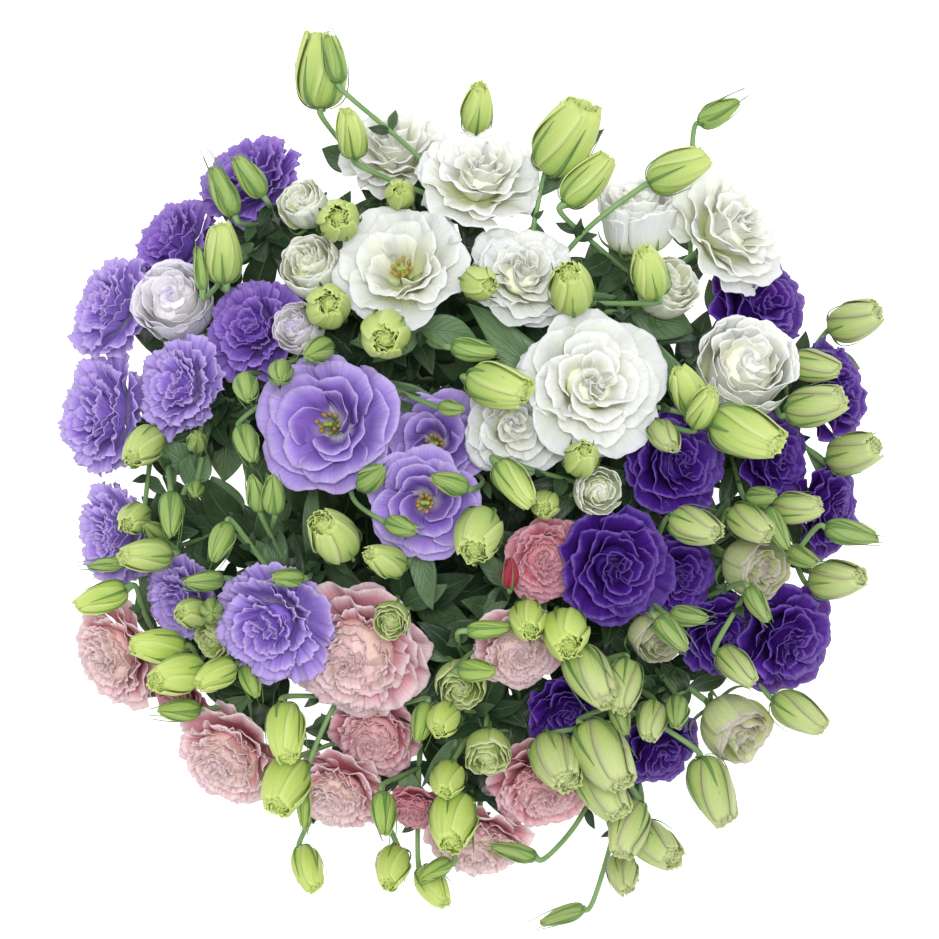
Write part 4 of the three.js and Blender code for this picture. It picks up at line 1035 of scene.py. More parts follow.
def dress_heart(shape, flower, rng):
    """Stamens around a two-lobed stigma, in the cup of an open bloom."""
    side, other = square_to(flower.axis)
    foot = flower.seat + flower.axis * (0.06 * flower.radius)
    for k in range(STAMENS):
        turn = spoke(k, STAMENS) + rng.uniform(-0.2, 0.2)
        outward = math.cos(turn) * side + math.sin(turn) * other
        tip = foot + flower.axis * (rng.uniform(0.26, 0.34) * flower.radius)
        tip = tip + outward * (rng.uniform(0.11, 0.17) * flower.radius)
        middle = mix(foot, tip, 0.5) + outward * (0.03 * flower.radius)
        filament = smooth_path([foot, middle, tip], 4)
        shape.tube(filament, np.full(len(filament), FILAMENT_RADIUS), 6, PART["filament"])
        along = flower.axis * 0.8 + outward * rng.uniform(0.1, 0.6) + side * rng.uniform(-0.4, 0.4)
        along = unit(along)
        half, radius = ANTHER
        shape.lump(tip - along * half, tip + along * half, radius, PART["anther"])
    top = foot + flower.axis * (0.27 * flower.radius)
    style = smooth_path([foot, top], 5)
    shape.tube(style, np.linspace(*STYLE_RADII, len(style)), 8, PART["stigma"])
    for way in (side, -side):
        shape.lump(top - way * 0.4, top + way * 2.4 + flower.axis * 1.8, 1.3, PART["stigma"])


# ---- Buds and sepals -------------------------------------------------------------------------

SMALL_BUD = 12  # a bud narrower than this is still green and closed
WIDE_BUD = 17  # and one wider than this has a wide mouth
FIVE = 5  # petals around a bud, and sepals under a bud or a bloom
BUD_PETAL = BROAD | {
    "grid": (15, 13), "waist": 0.75, "corner": 0.06, "fringe": 0.015, "teeth": ((5, 0.5), (9, 0.5)),
    "ruffle": 0.04, "ruffle_power": 3, "curl": 0.0, "tuck": 0.03, "twist": 0.8, "sway": 0.02,
    "thickness": 0.7, "waves": ((1.4, 0.4), (3.7, 0.35), (8, 0.25)),
}
BUD_HEART = BUD_PETAL | {
    "grid": (5, 15), "ruffle": 0.028, "ruffle_power": 1.5, "fringe": 0.03, "thickness": 0.3,
    "teeth": ((3, 0.6), (7, 0.4)), "waves": ((1.6, 0.5), (3.7, 0.4), (7, 0.2)),
}
SEPAL = {"grid": (13, 5), "point": 0.8, "twist": 0.12, "keel": 0.3, "thickness": 0.4}
HAIR_SEPAL = SEPAL | {"point": 1.7, "thickness": 0.6}
BLOOM_SEPAL = SEPAL | {"thickness": 0.5}

# The sepals of a bud: their look, their length as a share of the bud's, and how far out their
# tips are and how wide they are, as shares of the bud's width.
SMALL_BUD_SEPALS = (HAIR_SEPAL, (1.05, 1.3), 0.18, 0.5)
BUD_SEPALS = (SEPAL, (0.55, 0.85), 0.49, 0.15)
RED_BUD = ("pink_3", 0)  # the one bud that shows red

# The profiles of a bud's outer petals and of its sepals up to their tips, as (radius, height) in
# shares of the bud's width and length.
BUD_PROFILE = ((0.16, 0.02), (0.74, 0.1), (0.6, 0.62))
BUD_SEPAL_PROFILE = ((0.18, 0.0), (0.72, 0.06))

# Radius of the mouth of a bud as a share of the bud's width.
CLOSED_MOUTH = 0.07
MOUTH = (0.2, 0.26)
WIDE_MOUTH = (0.27, 0.34)

# The rings of petals furled in it, as (number of petals, share of its radius, top), and their
# profile up to there, as (share of that radius, height).
FURLED = ((4, 0.82, 0.94), (3, 0.6, 0.96), (3, 0.4, 0.95), (2, 0.2, 0.94))
FURLED_PROFILE = ((0.6, 0.6), (1.15, 0.7), (1.2, 0.85))


def widened(profile, radius):
    return [(share * radius, height) for share, height in profile]


def dress_mouth(shape, bud, rng, part, mouth, turn):
    """Crumpled petals furled round each other in the mouth of a bud, around a plain core."""
    foot = bud.seat + bud.axis * (0.4 * bud.length)
    top = bud.seat + bud.axis * (0.92 * bud.length)
    shape.lump(foot, top, 0.85 * mouth * bud.width, part, depth=1.0, tone=0.5, sides=12, rows=9)
    for number, share, height in FURLED:
        for k in range(number):
            inside = mouth * (bud.width / bud.length) * share
            curve = widened(FURLED_PROFILE, inside) + [(inside, height * rng.uniform(0.97, 1.02))]
            azimuth = turn + share * 9 + spoke(k, number)
            petal(shape, bud, bud.length, rng, azimuth, 2.6 / number + 0.35, curve,
                  BUD_HEART, 1.0, part)


def dress_bud(shape, bud, rng, part):
    """Furled petals wound round each other, and the sepals around them."""
    wide = bud.width / bud.length
    small = bud.width < SMALL_BUD
    mouth = CLOSED_MOUTH if small else rng.uniform(*(MOUTH if bud.width < WIDE_BUD else WIDE_MOUTH))
    ripe = 0.0 if small else 0.5
    turn = rng.uniform(0, 2 * math.pi)
    look = BUD_PETAL | {"twist": rng.uniform(0.6, 1.1)}
    slant = 0.02 if small else rng.uniform(0.02, 0.07)
    for k in range(FIVE):
        top = 1 - slant + slant * math.cos(spoke(k, FIVE)) + rng.uniform(-0.02, 0.01)
        curve = widened(BUD_PROFILE, wide) + [(mouth * wide, top)]
        petal(shape, bud, bud.length, rng, turn + spoke(k, FIVE), 0.82, curve, look, ripe, part)
    if not small:
        dress_mouth(shape, bud, rng, part, mouth, turn)
    look, lengths, tip, width = SMALL_BUD_SEPALS if small else BUD_SEPALS
    share = rng.uniform(*lengths)
    for k in range(FIVE):
        reach = share * rng.uniform(0.85, 1.1)
        free = rng.uniform(0.0, 0.09) * wide
        curve = widened(BUD_SEPAL_PROFILE, wide) + [
            (0.57 * wide + free, 0.55 * reach), (tip * wide + 2.4 * free, reach)]
        azimuth = turn + 0.4 + spoke(k, FIVE)
        sepal(shape, bud, bud.length, azimuth, curve, width * bud.width, look, rng.uniform(0, 1))


CALYX_TOP = 0.6  # how far a calyx reaches into its flower


def dress_calyx(shape, flower, rng):
    """The green cup between a stalk and its bloom, and five thin sepals under the petals."""
    neck = flower.seat - flower.axis * NECK
    top = flower.seat + flower.axis * CALYX_TOP
    widest = 0.14 * flower.radius + 0.6
    points = smooth_path([neck, mix(neck, top, 0.5), top], 3)
    radii = np.linspace(0, 1, len(points)) ** 1.3 * (widest - STALK_RADIUS) + STALK_RADIUS
    shape.tube(points, radii, 12, PART["sepal"])
    turn = rng.uniform(0, 2 * math.pi)
    for k in range(FIVE):
        reach = rng.uniform(0.55, 0.8)
        if flower.form in TALL:
            curve = ((0.2, 0.0), (0.85, 0.0), (0.98, 0.4 * reach), (1.0, 1.1 * reach))
        else:
            curve = ((0.15, -0.04), (0.5, -0.1), (0.7 * reach + 0.1, 0.02), (reach + 0.15, 0.2 * reach))
        azimuth = turn + spoke(k, FIVE) + rng.uniform(-0.2, 0.2)
        sepal(shape, flower, flower.radius, azimuth, curve, 0.2 * flower.radius, BLOOM_SEPAL,
              rng.uniform(0, 1))


# ---- Leaves, stems and the tie ---------------------------------------------------------------

# Share of a leaf's length, and how wide it is there.
LEAF_OUTLINE = ((0, 0.2), (0.12, 0.6), (0.32, 1), (0.5, 0.98), (0.7, 0.76), (0.88, 0.38), (1, 0.02))
LEAF_FOLD = 0.12  # rise of its sides, as a share of its width
LEAF_WAVE = 0.04  # and of the waves along its edges
LEAF_ARCH = 0.1  # rise of its middle, as a share of its length
LEAF_SWAY = 0.03
LEAF_SHEET = 0.7  # thickness
LEAF_GRID = (25, 11)
LEAF_TONES = (0.5, 1.0)


def dress_leaf(shape, heel, tip, width, rng, grid=LEAF_GRID, arch=LEAF_ARCH, tones=LEAF_TONES):
    """A pointed leaf, folded along its midrib, arched, with gently waved edges."""
    way = tip - heel
    length = np.linalg.norm(way)
    way = way / length
    up = unit(V(0, 0, 1) - way * way[2])
    side = np.cross(way, up)
    across, along = net(*grid)
    shares, widths = zip(*LEAF_OUTLINE)
    half = np.interp(along, shares, widths) * width / 2
    ease(half, 2)
    fold = LEAF_FOLD * width * np.abs(across) * half / half.max()
    wave = LEAF_WAVE * width * across**2 * waves(rng, across, along * 9, ((1, 0.6), (2, 0.5)))
    lift = arch * length * np.sin(math.pi * along) + fold + wave
    sway = LEAF_SWAY * length * np.sin(2 * math.pi * along + rng.uniform(0, 6)) * along
    points = (heel + along[..., None] * (tip - heel) + (across * half + sway)[..., None] * side
              + lift[..., None] * up)
    thickness = LEAF_SHEET * (1 - 0.5 * np.abs(across)) * (1 - 0.4 * along)
    shape.sheet(points, thickness, PART["leaf"], 0.0, rng.uniform(*tones))


BRACT_LEAN = (0.5, 1.1)  # radians that a small leaf leans from its stalk
SQUARE_LEAN = (1.15, 1.5)  # and that one close under a bloom does
BRACT_WIDTH = (0.36, 0.5)  # as a share of its length
BRACT_GRID = (13, 7)
BRACT_ARCH = 0.08
# Low tones, which paint the small leaves in the shaded green: painted shade deep in the bunch.
BRACT_SHADE_TONES = (0.0, 0.5)

# The room that the petals of a bloom fill, in multiples of its radius.
ROOM_HEIGHT = 1.0
TALL_ROOM_HEIGHT = 1.65
ROOM_RADIUS = 1.12


def petal_room(stems):
    """Seats, axes, radii and heights of the room that petals fill."""
    heads = [flower for stem in stems for flower in stem["heads"]]
    heights = [(TALL_ROOM_HEIGHT if flower.form in TALL else ROOM_HEIGHT) * flower.radius
               for flower in heads]
    return (np.array([flower.seat for flower in heads]), np.array([flower.axis for flower in heads]),
            np.array([ROOM_RADIUS * flower.radius for flower in heads]), np.array(heights))


def among_petals(point, room):
    seats, axes, radii, heights = room
    steps = point - seats
    rises = (steps * axes).sum(1)
    apart = np.linalg.norm(steps - axes * rises[:, None], axis=1)
    return bool(((rises > 0) & (rises < heights) & (apart < radii)).any())


def dress_bracts(shape, path, share, length, rng, room, leans=BRACT_LEAN):
    """A pair of small leaves that face each other across a stalk, where there is room for them."""
    steps = np.linalg.norm(path[1:] - path[:-1], axis=1)
    run = np.concatenate([[0], np.cumsum(steps)])
    place = share * run[-1]
    k = min(int(np.searchsorted(run, place, side="right")) - 1, len(steps) - 1)
    heel = mix(path[k], path[k + 1], (place - run[k]) / steps[k])
    way = unit(path[k + 1] - path[k])
    side, other = square_to(way)
    turn = rng.uniform(0, math.pi)
    outward = math.cos(turn) * side + math.sin(turn) * other
    for sign in (1, -1):
        lean = rng.uniform(*leans)
        size = length * rng.uniform(0.8, 1.15)
        width = size * rng.uniform(*BRACT_WIDTH)
        tip = heel + (way * math.cos(lean) + sign * outward * math.sin(lean)) * size
        if not among_petals(tip, room) and not among_petals(mix(heel, tip, 0.7), room):
            dress_leaf(shape, heel, tip, width, rng, BRACT_GRID, BRACT_ARCH, BRACT_SHADE_TONES)


KNOTS = (0.3, 0.46, 0.62)  # shares of a stem's length where a pair of leaves grew
KNOT = {"height": 0.22, "length": 0.008}  # how much it swells there, over what share of its length
STEM_STEPS = 40  # in each stretch of its path, from one point to the next
STALK_STEPS = 8
BUD_STALK_STEPS = 10
CUT = -1.5  # height at which a stem is cut, before its end is made flat


def dress_stalk(shape, path, radius, rng, steps, knots=(), swell=0.0, cut=False):
    """A stalk, a little uneven, with knots at some shares of its length and a swollen tip."""
    points = smooth_path(path, steps, 14)
    shares = np.linspace(0, 1, len(points))
    radii = radius * (1 + 0.06 * np.sin(shares * rng.uniform(6, 12) + rng.uniform(0, 6)))
    for knot in knots:
        radii *= 1 + KNOT["height"] * np.exp(-(((shares - knot) / KNOT["length"]) ** 2))
    radii *= 1 + swell * shares**6
    if cut:
        first = int(np.argmax(points[:, 2] > CUT)) - 1
        share = (CUT - points[first, 2]) / (points[first + 1, 2] - points[first, 2])
        points = points[first:]
        points[0] = mix(points[0], points[1], share)
        radii = radii[first:]
    shape.tube(points, radii, 10, PART["stalk"], 0.0, rng.uniform(0, 1))
    if cut:
        for rim in shape.points[-2:]:
            rim[:, 2] = np.maximum(rim[:, 2], 0)
    return points


# Leaves deep between the stalks of two stems, each as (number of the flower whose stalk it grows
# from, share of that stalk, tip, width).
DEEP_LEAVES = {
    "lilac_2": ((1, 0.2, (-112, -12, 276), 24), (1, 0.45, (-126, -6, 290), 22),
                (2, 0.25, (-104, 2, 296), 20)),
    "lilac_4": ((0, 0.3, (-106, 6, 270), 24), (0, 0.5, (-132, -4, 286), 20)),
}

# Where pairs of small leaves grow, as shares of a stem's or a stalk's length, and how long they are.
STEM_PAIRS = (0.73, 0.78, 0.83, 0.88, 0.93, 0.98)
STEM_PAIR_LENGTH = (30, 44)
STEM_PAIR_GAIN = 60  # what is added to their length along a whole stem
STALK_PAIRS = (0.08, 0.22, 0.36, 0.5, 0.64, 0.76)
STALK_PAIR_LENGTH = (30, 42)
COLLAR = (0.9, (24, 32))  # the pair close under a bloom
BUD_PAIRS = ((0.05, (26, 36)), (0.25, (20, 28)))
TINY_PAIR = ((0.5, 0.7), (8, 14))  # the last pair under a bud
FIRST_STALK_RADIUS = 1.9


def dress_stem(shape, stem, rng, room):
    """The stem, its stalks, buds, calyxes and leaves."""
    ways = []
    first = stem["heads"][0]
    knots = KNOTS + rng.uniform(-0.05, 0.05, len(KNOTS))
    main = dress_stalk(shape, stem["main"], STEM_RADIUS, rng, STEM_STEPS, knots, cut=True)
    for share in STEM_PAIRS:
        length = rng.uniform(*STEM_PAIR_LENGTH) + STEM_PAIR_GAIN * (share - STEM_PAIRS[0])
        dress_bracts(shape, main, share, length, rng, room)
    for flower in stem["heads"]:
        radius = FIRST_STALK_RADIUS if flower is first else STALK_RADIUS
        way = dress_stalk(shape, flower.stalk, radius, rng, STALK_STEPS)
        ways.append(way)
        for share in STALK_PAIRS:
            dress_bracts(shape, way, share, rng.uniform(*STALK_PAIR_LENGTH), rng, room)
        share, lengths = COLLAR
        dress_bracts(shape, way, share, rng.uniform(*lengths), rng, room, SQUARE_LEAN)
        dress_calyx(shape, flower, rng)
        if flower.kind == "opening":
            dress_bloom(shape, flower, rng, PART["opening"])
    for number, bud in enumerate(stem["bud_items"]):
        neck_to_seat = np.vstack([bud.stalk, bud.seat + bud.axis * CALYX_TOP])
        swell = 0.5 if bud.width < SMALL_BUD else 1.0
        way = dress_stalk(shape, neck_to_seat, BUD_STALK_RADIUS, rng, BUD_STALK_STEPS, swell=swell)
        for share, lengths in BUD_PAIRS:
            dress_bracts(shape, way, share, rng.uniform(*lengths), rng, room)
        shares, lengths = TINY_PAIR
        dress_bracts(shape, way, rng.uniform(*shares), rng.uniform(*lengths), rng, room)
        is_red = (stem["name"], number) == RED_BUD
        dress_bud(shape, bud, rng, PART["red bud" if is_red else "bud"])
    for leaf in stem["leaf_places"]:
        dress_leaf(shape, leaf["heel"], leaf["tip"], leaf["width"], rng)
    for number, share, tip, width in DEEP_LEAVES.get(stem["name"], ()):
        heel = ways[number][int(share * len(ways[number]))]
        dress_leaf(shape, heel, V(*tip), width, rng)


TIE_TURNS = 3
TWINE = 2.4
TIE_INNER_RADIUS = 13.25
TWINE_STRANDS = 3
STRAND = (0.6, 0.56)  # a strand's radius, and how far it runs from the middle of the twine
STRAND_LAY = 17  # how often strands wind round each other in one turn of the tie
TIE_STEPS = 150


def dress_tie(shape):
    """Three turns of three-strand twine around the waist of the bunch."""
    middle = TIE_INNER_RADIUS + TWINE / 2
    strand_radius, off_middle = STRAND
    turns = np.linspace(0, 2 * math.pi, TIE_STEPS + 1)
    for turn in range(TIE_TURNS):
        level = TIE_HEIGHT + (turn - (TIE_TURNS - 1) / 2) * TWINE - TWINE
        for strand in range(TWINE_STRANDS):
            lay = turns * STRAND_LAY + spoke(strand, TWINE_STRANDS) + turn
            ring = middle + off_middle * np.cos(lay)
            height = level + off_middle * np.sin(lay)
            points = np.stack([ring * np.cos(turns), ring * np.sin(turns), height], axis=1)
            shape.tube(points, np.full(len(points), strand_radius), 7, PART["twine"], tone=strand / 2)


# ---- Materials -------------------------------------------------------------------------------

# A lit and a shaded copy of the leaf green, painted light and shade, and the paler green of the veins.
LEAF_LIT_GREEN, LEAF_SHADED_GREEN, LEAF_VEIN = (0.15, 0.26, 0.12), (0.018, 0.044, 0.018), (0.17, 0.27, 0.11)
TWINE_DARK, TWINE_LIGHT = (0.3, 0.19, 0.09), (0.56, 0.41, 0.22)
PETAL_ROUGHNESS = 0.55
GLOW = (1.0, 0.9, 0.6)  # how far red, green and blue light spread inside a petal
GLOW_SCALE = 0.002  # metres
SPECULAR = 0.3


class Paint:
    """A node tree for one material, built a step at a time."""

    def __init__(self, name, roughness, subsurface=0.0):
        self.material = bpy.data.materials.new(name)
        self.material.use_nodes = True
        self.nodes = self.material.node_tree.nodes
        self.links = self.material.node_tree.links
        self.shader = self.nodes["Principled BSDF"]
        self.shader.inputs["Roughness"].default_value = roughness
        self.shader.inputs["Specular IOR Level"].default_value = SPECULAR
        if subsurface:
            self.shader.inputs["Subsurface Weight"].default_value = subsurface
            self.shader.inputs["Subsurface Radius"].default_value = GLOW
            self.shader.inputs["Subsurface Scale"].default_value = GLOW_SCALE

    def plug(self, socket, value):
        if isinstance(value, bpy.types.NodeSocket):
            self.links.new(value, socket)
        elif isinstance(value, tuple) and len(value) == 3 and socket.type == "RGBA":
            socket.default_value = (*value, 1)
        else:
            socket.default_value = value

    def math(self, operation, a, b=0.0):
        node = self.nodes.new("ShaderNodeMath")
        node.operation = operation
        self.plug(node.inputs[0], a)
        self.plug(node.inputs[1], b)
        return node.outputs[0]

    def times(self, a, b):
        return self.math("MULTIPLY", a, b)

    def plus(self, a, b):
        return self.math("ADD", a, b)

    def ramp(self, value, low, high, start=0.0, end=1.0):
        """Smoothly from start to end as value goes from low to high."""
        node = self.nodes.new("ShaderNodeMapRange")
        node.interpolation_type = "SMOOTHSTEP"
        for socket, number in zip(node.inputs[:5], (value, low, high, start, end)):
            self.plug(socket, number)
        return node.outputs[0]

    def mix(self, share, a, b, blend="MIX"):
        node = self.nodes.new("ShaderNodeMix")
        node.data_type = "RGBA"
        node.blend_type = blend
        self.plug(node.inputs["Factor"], share)
        colours = [socket for socket in node.inputs if socket.type == "RGBA"]
        self.plug(colours[0], a)
        self.plug(colours[1], b)
        return next(socket for socket in node.outputs if socket.type == "RGBA")

    def fact(self, name):
        node = self.nodes.new("ShaderNodeAttribute")
        node.attribute_name = name
        return node.outputs["Fac"]

    def place(self):
        """Across and along the petal, each from 0 to 1."""
        node = self.nodes.new("ShaderNodeUVMap")
        node.uv_map = "petal"
        split = self.nodes.new("ShaderNodeSeparateXYZ")
        self.links.new(node.outputs[0], split.inputs[0])
        return split.outputs[0], split.outputs[1]

    def from_middle(self, across):
        """How far a place lies from the middle of a petal or leaf, from 0 to 0.5."""
        return self.math("ABSOLUTE", self.math("SUBTRACT", across, 0.5))

    def vector(self, x, y, z):
        node = self.nodes.new("ShaderNodeCombineXYZ")
        for socket, value in zip(node.inputs, (x, y, z)):
            self.plug(socket, value)
        return node.outputs[0]

    def noise(self, scale, detail, vector=None):
        node = self.nodes.new("ShaderNodeTexNoise")
        node.inputs["Scale"].default_value = scale
        node.inputs["Detail"].default_value = detail
        if vector is None:
            vector = self.nodes.new("ShaderNodeTexCoord").outputs["Object"]
        self.links.new(vector, node.inputs["Vector"])
        return node.outputs["Fac"]

    def streaks(self, across_by, along_by, tone_by, detail=2.0):
        """Fine lines along a petal, leaf or strand, which differ from each to the next."""
        across, along = self.place()
        spot = (self.times(across, across_by), self.times(along, along_by),
                self.times(self.fact("tone"), tone_by))
        return self.noise(1.0, detail, self.vector(*spot))

    def bump(self, height, depth):
        """depth is in metres."""
        node = self.nodes.new("ShaderNodeBump")
        node.inputs["Distance"].default_value = depth
        node.inputs["Strength"].default_value = 1.0
        self.links.new(height, node.inputs["Height"])
        self.links.new(node.outputs[0], self.shader.inputs["Normal"])

    def finish(self, colour):
        self.links.new(colour, self.shader.inputs["Base Color"])
        return self.material


def petal_paint(name, lightness, main, heart, heart_and_shade_at, foot, foot_and_shade_at, rim, rim_and_highlight_at, vein, vein_colour,
                subsurface=0.2):
    """Petal skin: a foot, pale on most, a main colour, a rim, fine veins, and warmer petals in the
    heart. Darker feet and hearts are painted shade deep in the bloom, and paler rims are partly painted
    highlights.
    """
    paint = Paint(name, PETAL_ROUGHNESS, subsurface)
    along = paint.place()[1]
    veins = paint.streaks(46, 2.2, 30)
    patch = paint.noise(90, 2.0)
    # The heart and the foot: partly painted shade deep in the bloom.
    body = paint.mix(paint.ramp(paint.fact("depth"), *heart_and_shade_at), main, heart)
    body = paint.mix(paint.ramp(paint.plus(along, paint.times(veins, 0.12)), *foot_and_shade_at), foot, body)
    # The rim: partly a painted highlight.
    body = paint.mix(paint.ramp(paint.plus(along, paint.times(patch, 0.08)), *rim_and_highlight_at), body, rim)
    body = paint.mix(paint.ramp(veins, 0.42, 0.68, 0.0, vein), body, vein_colour)
    shade = paint.plus(paint.times(paint.fact("tone"), 0.1), paint.times(patch, 0.12))
    shade = paint.plus(shade, lightness)
    body = paint.mix(1.0, body, paint.vector(shade, shade, shade), "MULTIPLY")
    paint.bump(veins, 0.0006)
    return paint.finish(body)


# Petal colours: lightness, main, heart, where the heart starts and ends from the outermost petals to
# the innermost, foot, where it ends along a petal, rim, where it starts, strength of the veins, their
# colour, and how much light spreads inside. Darker hearts and feet are painted shade deep in the bloom,
# and paler rims are partly painted highlights.
PETAL_COLOURS = {
    # The whites' green-yellow foot and heart are partly their own throat colour and partly painted
    # shade deep in the bloom.
    "white_petals": (
        0.86, (0.945, 0.955, 0.85), (0.945, 0.955, 0.77), (0.2, 1.0), (0.78, 0.88, 0.38), (0.1, 0.78),
        (0.955, 0.96, 0.92), (0.85, 1.05), 0.1, (0.87, 0.91, 0.74), 0.6),
    "lilac_white_petals": (
        0.86, (0.95, 0.94, 0.915), (0.94, 0.925, 0.92), (0.35, 1.0), (0.88, 0.9, 0.68), (0.06, 0.5),
        (0.76, 0.66, 0.9), (0.93, 1.06), 0.1, (0.84, 0.8, 0.88), 0.6),
    # The lavenders' darker heart is painted shade deep in the bloom, and their paler rim is a painted
    # highlight; the pale foot is their own colour.
    "lavender_petals": (
        0.76, (0.46, 0.31, 0.84), (0.36, 0.2, 0.76), (0.3, 0.9), (0.78, 0.74, 0.82), (0.05, 0.55),
        (0.58, 0.45, 0.89), (0.84, 1.05), 0.3, (0.34, 0.18, 0.72)),
    "deep_lavender_petals": (
        0.72, (0.27, 0.14, 0.62), (0.23, 0.1, 0.58), (0.3, 0.9), (0.52, 0.44, 0.68), (0.05, 0.45),
        (0.38, 0.23, 0.72), (0.86, 1.05), 0.3, (0.16, 0.06, 0.48)),
    # The pinks' cream heart is their own colour; their deeper foot is partly painted shade low between
    # the petals, and their paler rim is partly a painted highlight.
    "pink_petals": (
        0.72, (0.86, 0.41, 0.48), (0.95, 0.74, 0.65), (0.3, 0.66), (0.76, 0.17, 0.24), (0.2, 0.8),
        (0.94, 0.72, 0.75), (0.82, 1.03), 0.25, (0.82, 0.32, 0.38)),
    "warm_pink_petals": (
        0.72, (0.75, 0.27, 0.34), (0.87, 0.51, 0.5), (0.3, 0.8), (0.63, 0.12, 0.18), (0.15, 0.7),
        (0.89, 0.58, 0.63), (0.82, 1.04), 0.25, (0.78, 0.26, 0.34)),
    "rose_petals": (
        0.72, (0.76, 0.22, 0.31), (0.82, 0.34, 0.4), (0.3, 0.8), (0.7, 0.14, 0.2), (0.1, 0.5),
        (0.87, 0.46, 0.53), (0.84, 1.04), 0.3, (0.62, 0.12, 0.2)),
    # The purple's darker foot is painted shade low in the bloom, and its paler rim is a painted
    # highlight.
    "purple_petals": (
        0.72, (0.07, 0.012, 0.28), (0.073, 0.014, 0.29), (0.4, 1.0), (0.035, 0.007, 0.11), (0.15, 0.7),
        (0.17, 0.08, 0.46), (0.95, 1.04), 0.4, (0.03, 0.005, 0.15)),
    # Half-open buds are still green at the foot, and coloured along their rims.
    "opening_white": (
        0.84, (0.9, 0.925, 0.7), (0.84, 0.91, 0.52), (0.3, 1.0), (0.62, 0.76, 0.26), (0.1, 0.7),
        (0.95, 0.955, 0.86), (0.8, 1.05), 0.2, (0.6, 0.74, 0.3), 0.5),
    "opening_lilac": (
        0.84, (0.93, 0.93, 0.85), (0.88, 0.88, 0.82), (0.3, 1.0), (0.66, 0.76, 0.38), (0.1, 0.65),
        (0.7, 0.58, 0.86), (0.88, 1.05), 0.2, (0.66, 0.64, 0.6), 0.5),
    "opening_pink": (
        0.74, (0.56, 0.7, 0.22), (0.52, 0.7, 0.17), (0.3, 1.0), (0.46, 0.62, 0.15), (0.1, 0.65),
        (0.78, 0.84, 0.46), (0.84, 1.05), 0.25, (0.42, 0.58, 0.12)),
    "opening_purple": (
        0.8, (0.62, 0.7, 0.32), (0.58, 0.68, 0.27), (0.3, 1.0), (0.46, 0.58, 0.18), (0.1, 0.65),
        (0.5, 0.42, 0.44), (0.9, 1.05), 0.25, (0.42, 0.46, 0.22), 0.4),
}

# Bud colours: petals, their ribs, the tip and the flush along the edges.
BUD_COLOURS = {
    "bud_white": ((0.36, 0.49, 0.125), (0.2, 0.36, 0.045), (0.56, 0.67, 0.21), (0.62, 0.7, 0.32)),
    "bud_lilac": ((0.355, 0.48, 0.135), (0.2, 0.35, 0.05), (0.53, 0.64, 0.21), (0.58, 0.64, 0.32)),
    "bud_pink": ((0.4, 0.55, 0.11), (0.23, 0.39, 0.045), (0.57, 0.69, 0.19), (0.62, 0.71, 0.28)),
    "bud_purple": ((0.36, 0.47, 0.14), (0.2, 0.31, 0.07), (0.52, 0.6, 0.26), (0.31, 0.24, 0.23)),
    "bud_red": ((0.36, 0.02, 0.06), (0.18, 0.008, 0.025), (0.45, 0.06, 0.12), (0.45, 0.08, 0.13)),
}
YOUNG_GREEN = (0.15, 0.29, 0.08)  # of buds that have only begun to swell
YOUNG_SHARE = 0.42


def bud_paint(name, lime, deep, tip, flush):
    """Furled green petals with deeper ribs, a flush of the flower's colour near a pale tip."""
    paint = Paint(name, 0.5, 0.12)
    across, along = paint.place()
    kind = paint.fact("depth")
    ribs = paint.streaks(16, 1.6, 20)
    body = paint.mix(paint.ramp(ribs, 0.45, 0.8, 0.0, 0.6), lime, deep)
    young = 0.0 if name == "bud_red" else YOUNG_SHARE
    body = paint.mix(paint.ramp(kind, 0.0, 0.4, young, 0.0), body, YOUNG_GREEN)
    ripe = paint.ramp(kind, 0.0, 0.6, 0.25, 1.0)
    body = paint.mix(paint.times(paint.ramp(along, 0.35, 1.0), ripe), body, tip)
    rim = paint.times(paint.ramp(paint.from_middle(across), 0.3, 0.5), paint.times(ripe, 0.6))
    body = paint.mix(rim, body, flush)
    paint.bump(ribs, 0.0004)
    return paint.finish(body)


# Green parts: light and dark colour, roughness, lines across.
GREENS = {
    "stalk_skin": ((0.25, 0.4, 0.16), (0.14, 0.26, 0.09), 0.5, 14),
    "sepal_skin": ((0.18, 0.31, 0.09), (0.08, 0.17, 0.045), 0.55, 6),
    "anther_skin": ((0.52, 0.38, 0.09), (0.3, 0.19, 0.04), 0.8, 8),
    "stigma_skin": ((0.42, 0.5, 0.12), (0.25, 0.34, 0.06), 0.6, 8),
}


def green_paint(name, light, dark, roughness, grain):
    """The skin of stalks, sepals, stamens and stigmas, with fine lines along it."""
    paint = Paint(name, roughness)
    lines = paint.streaks(grain, 5, 9, 3.0)
    share = paint.plus(paint.times(lines, 0.6), paint.times(paint.noise(60, 3.0), 0.5))
    body = paint.mix(paint.ramp(share, 0.35, 0.75), dark, light)
    paint.bump(lines, 0.0002)
    return paint.finish(body)


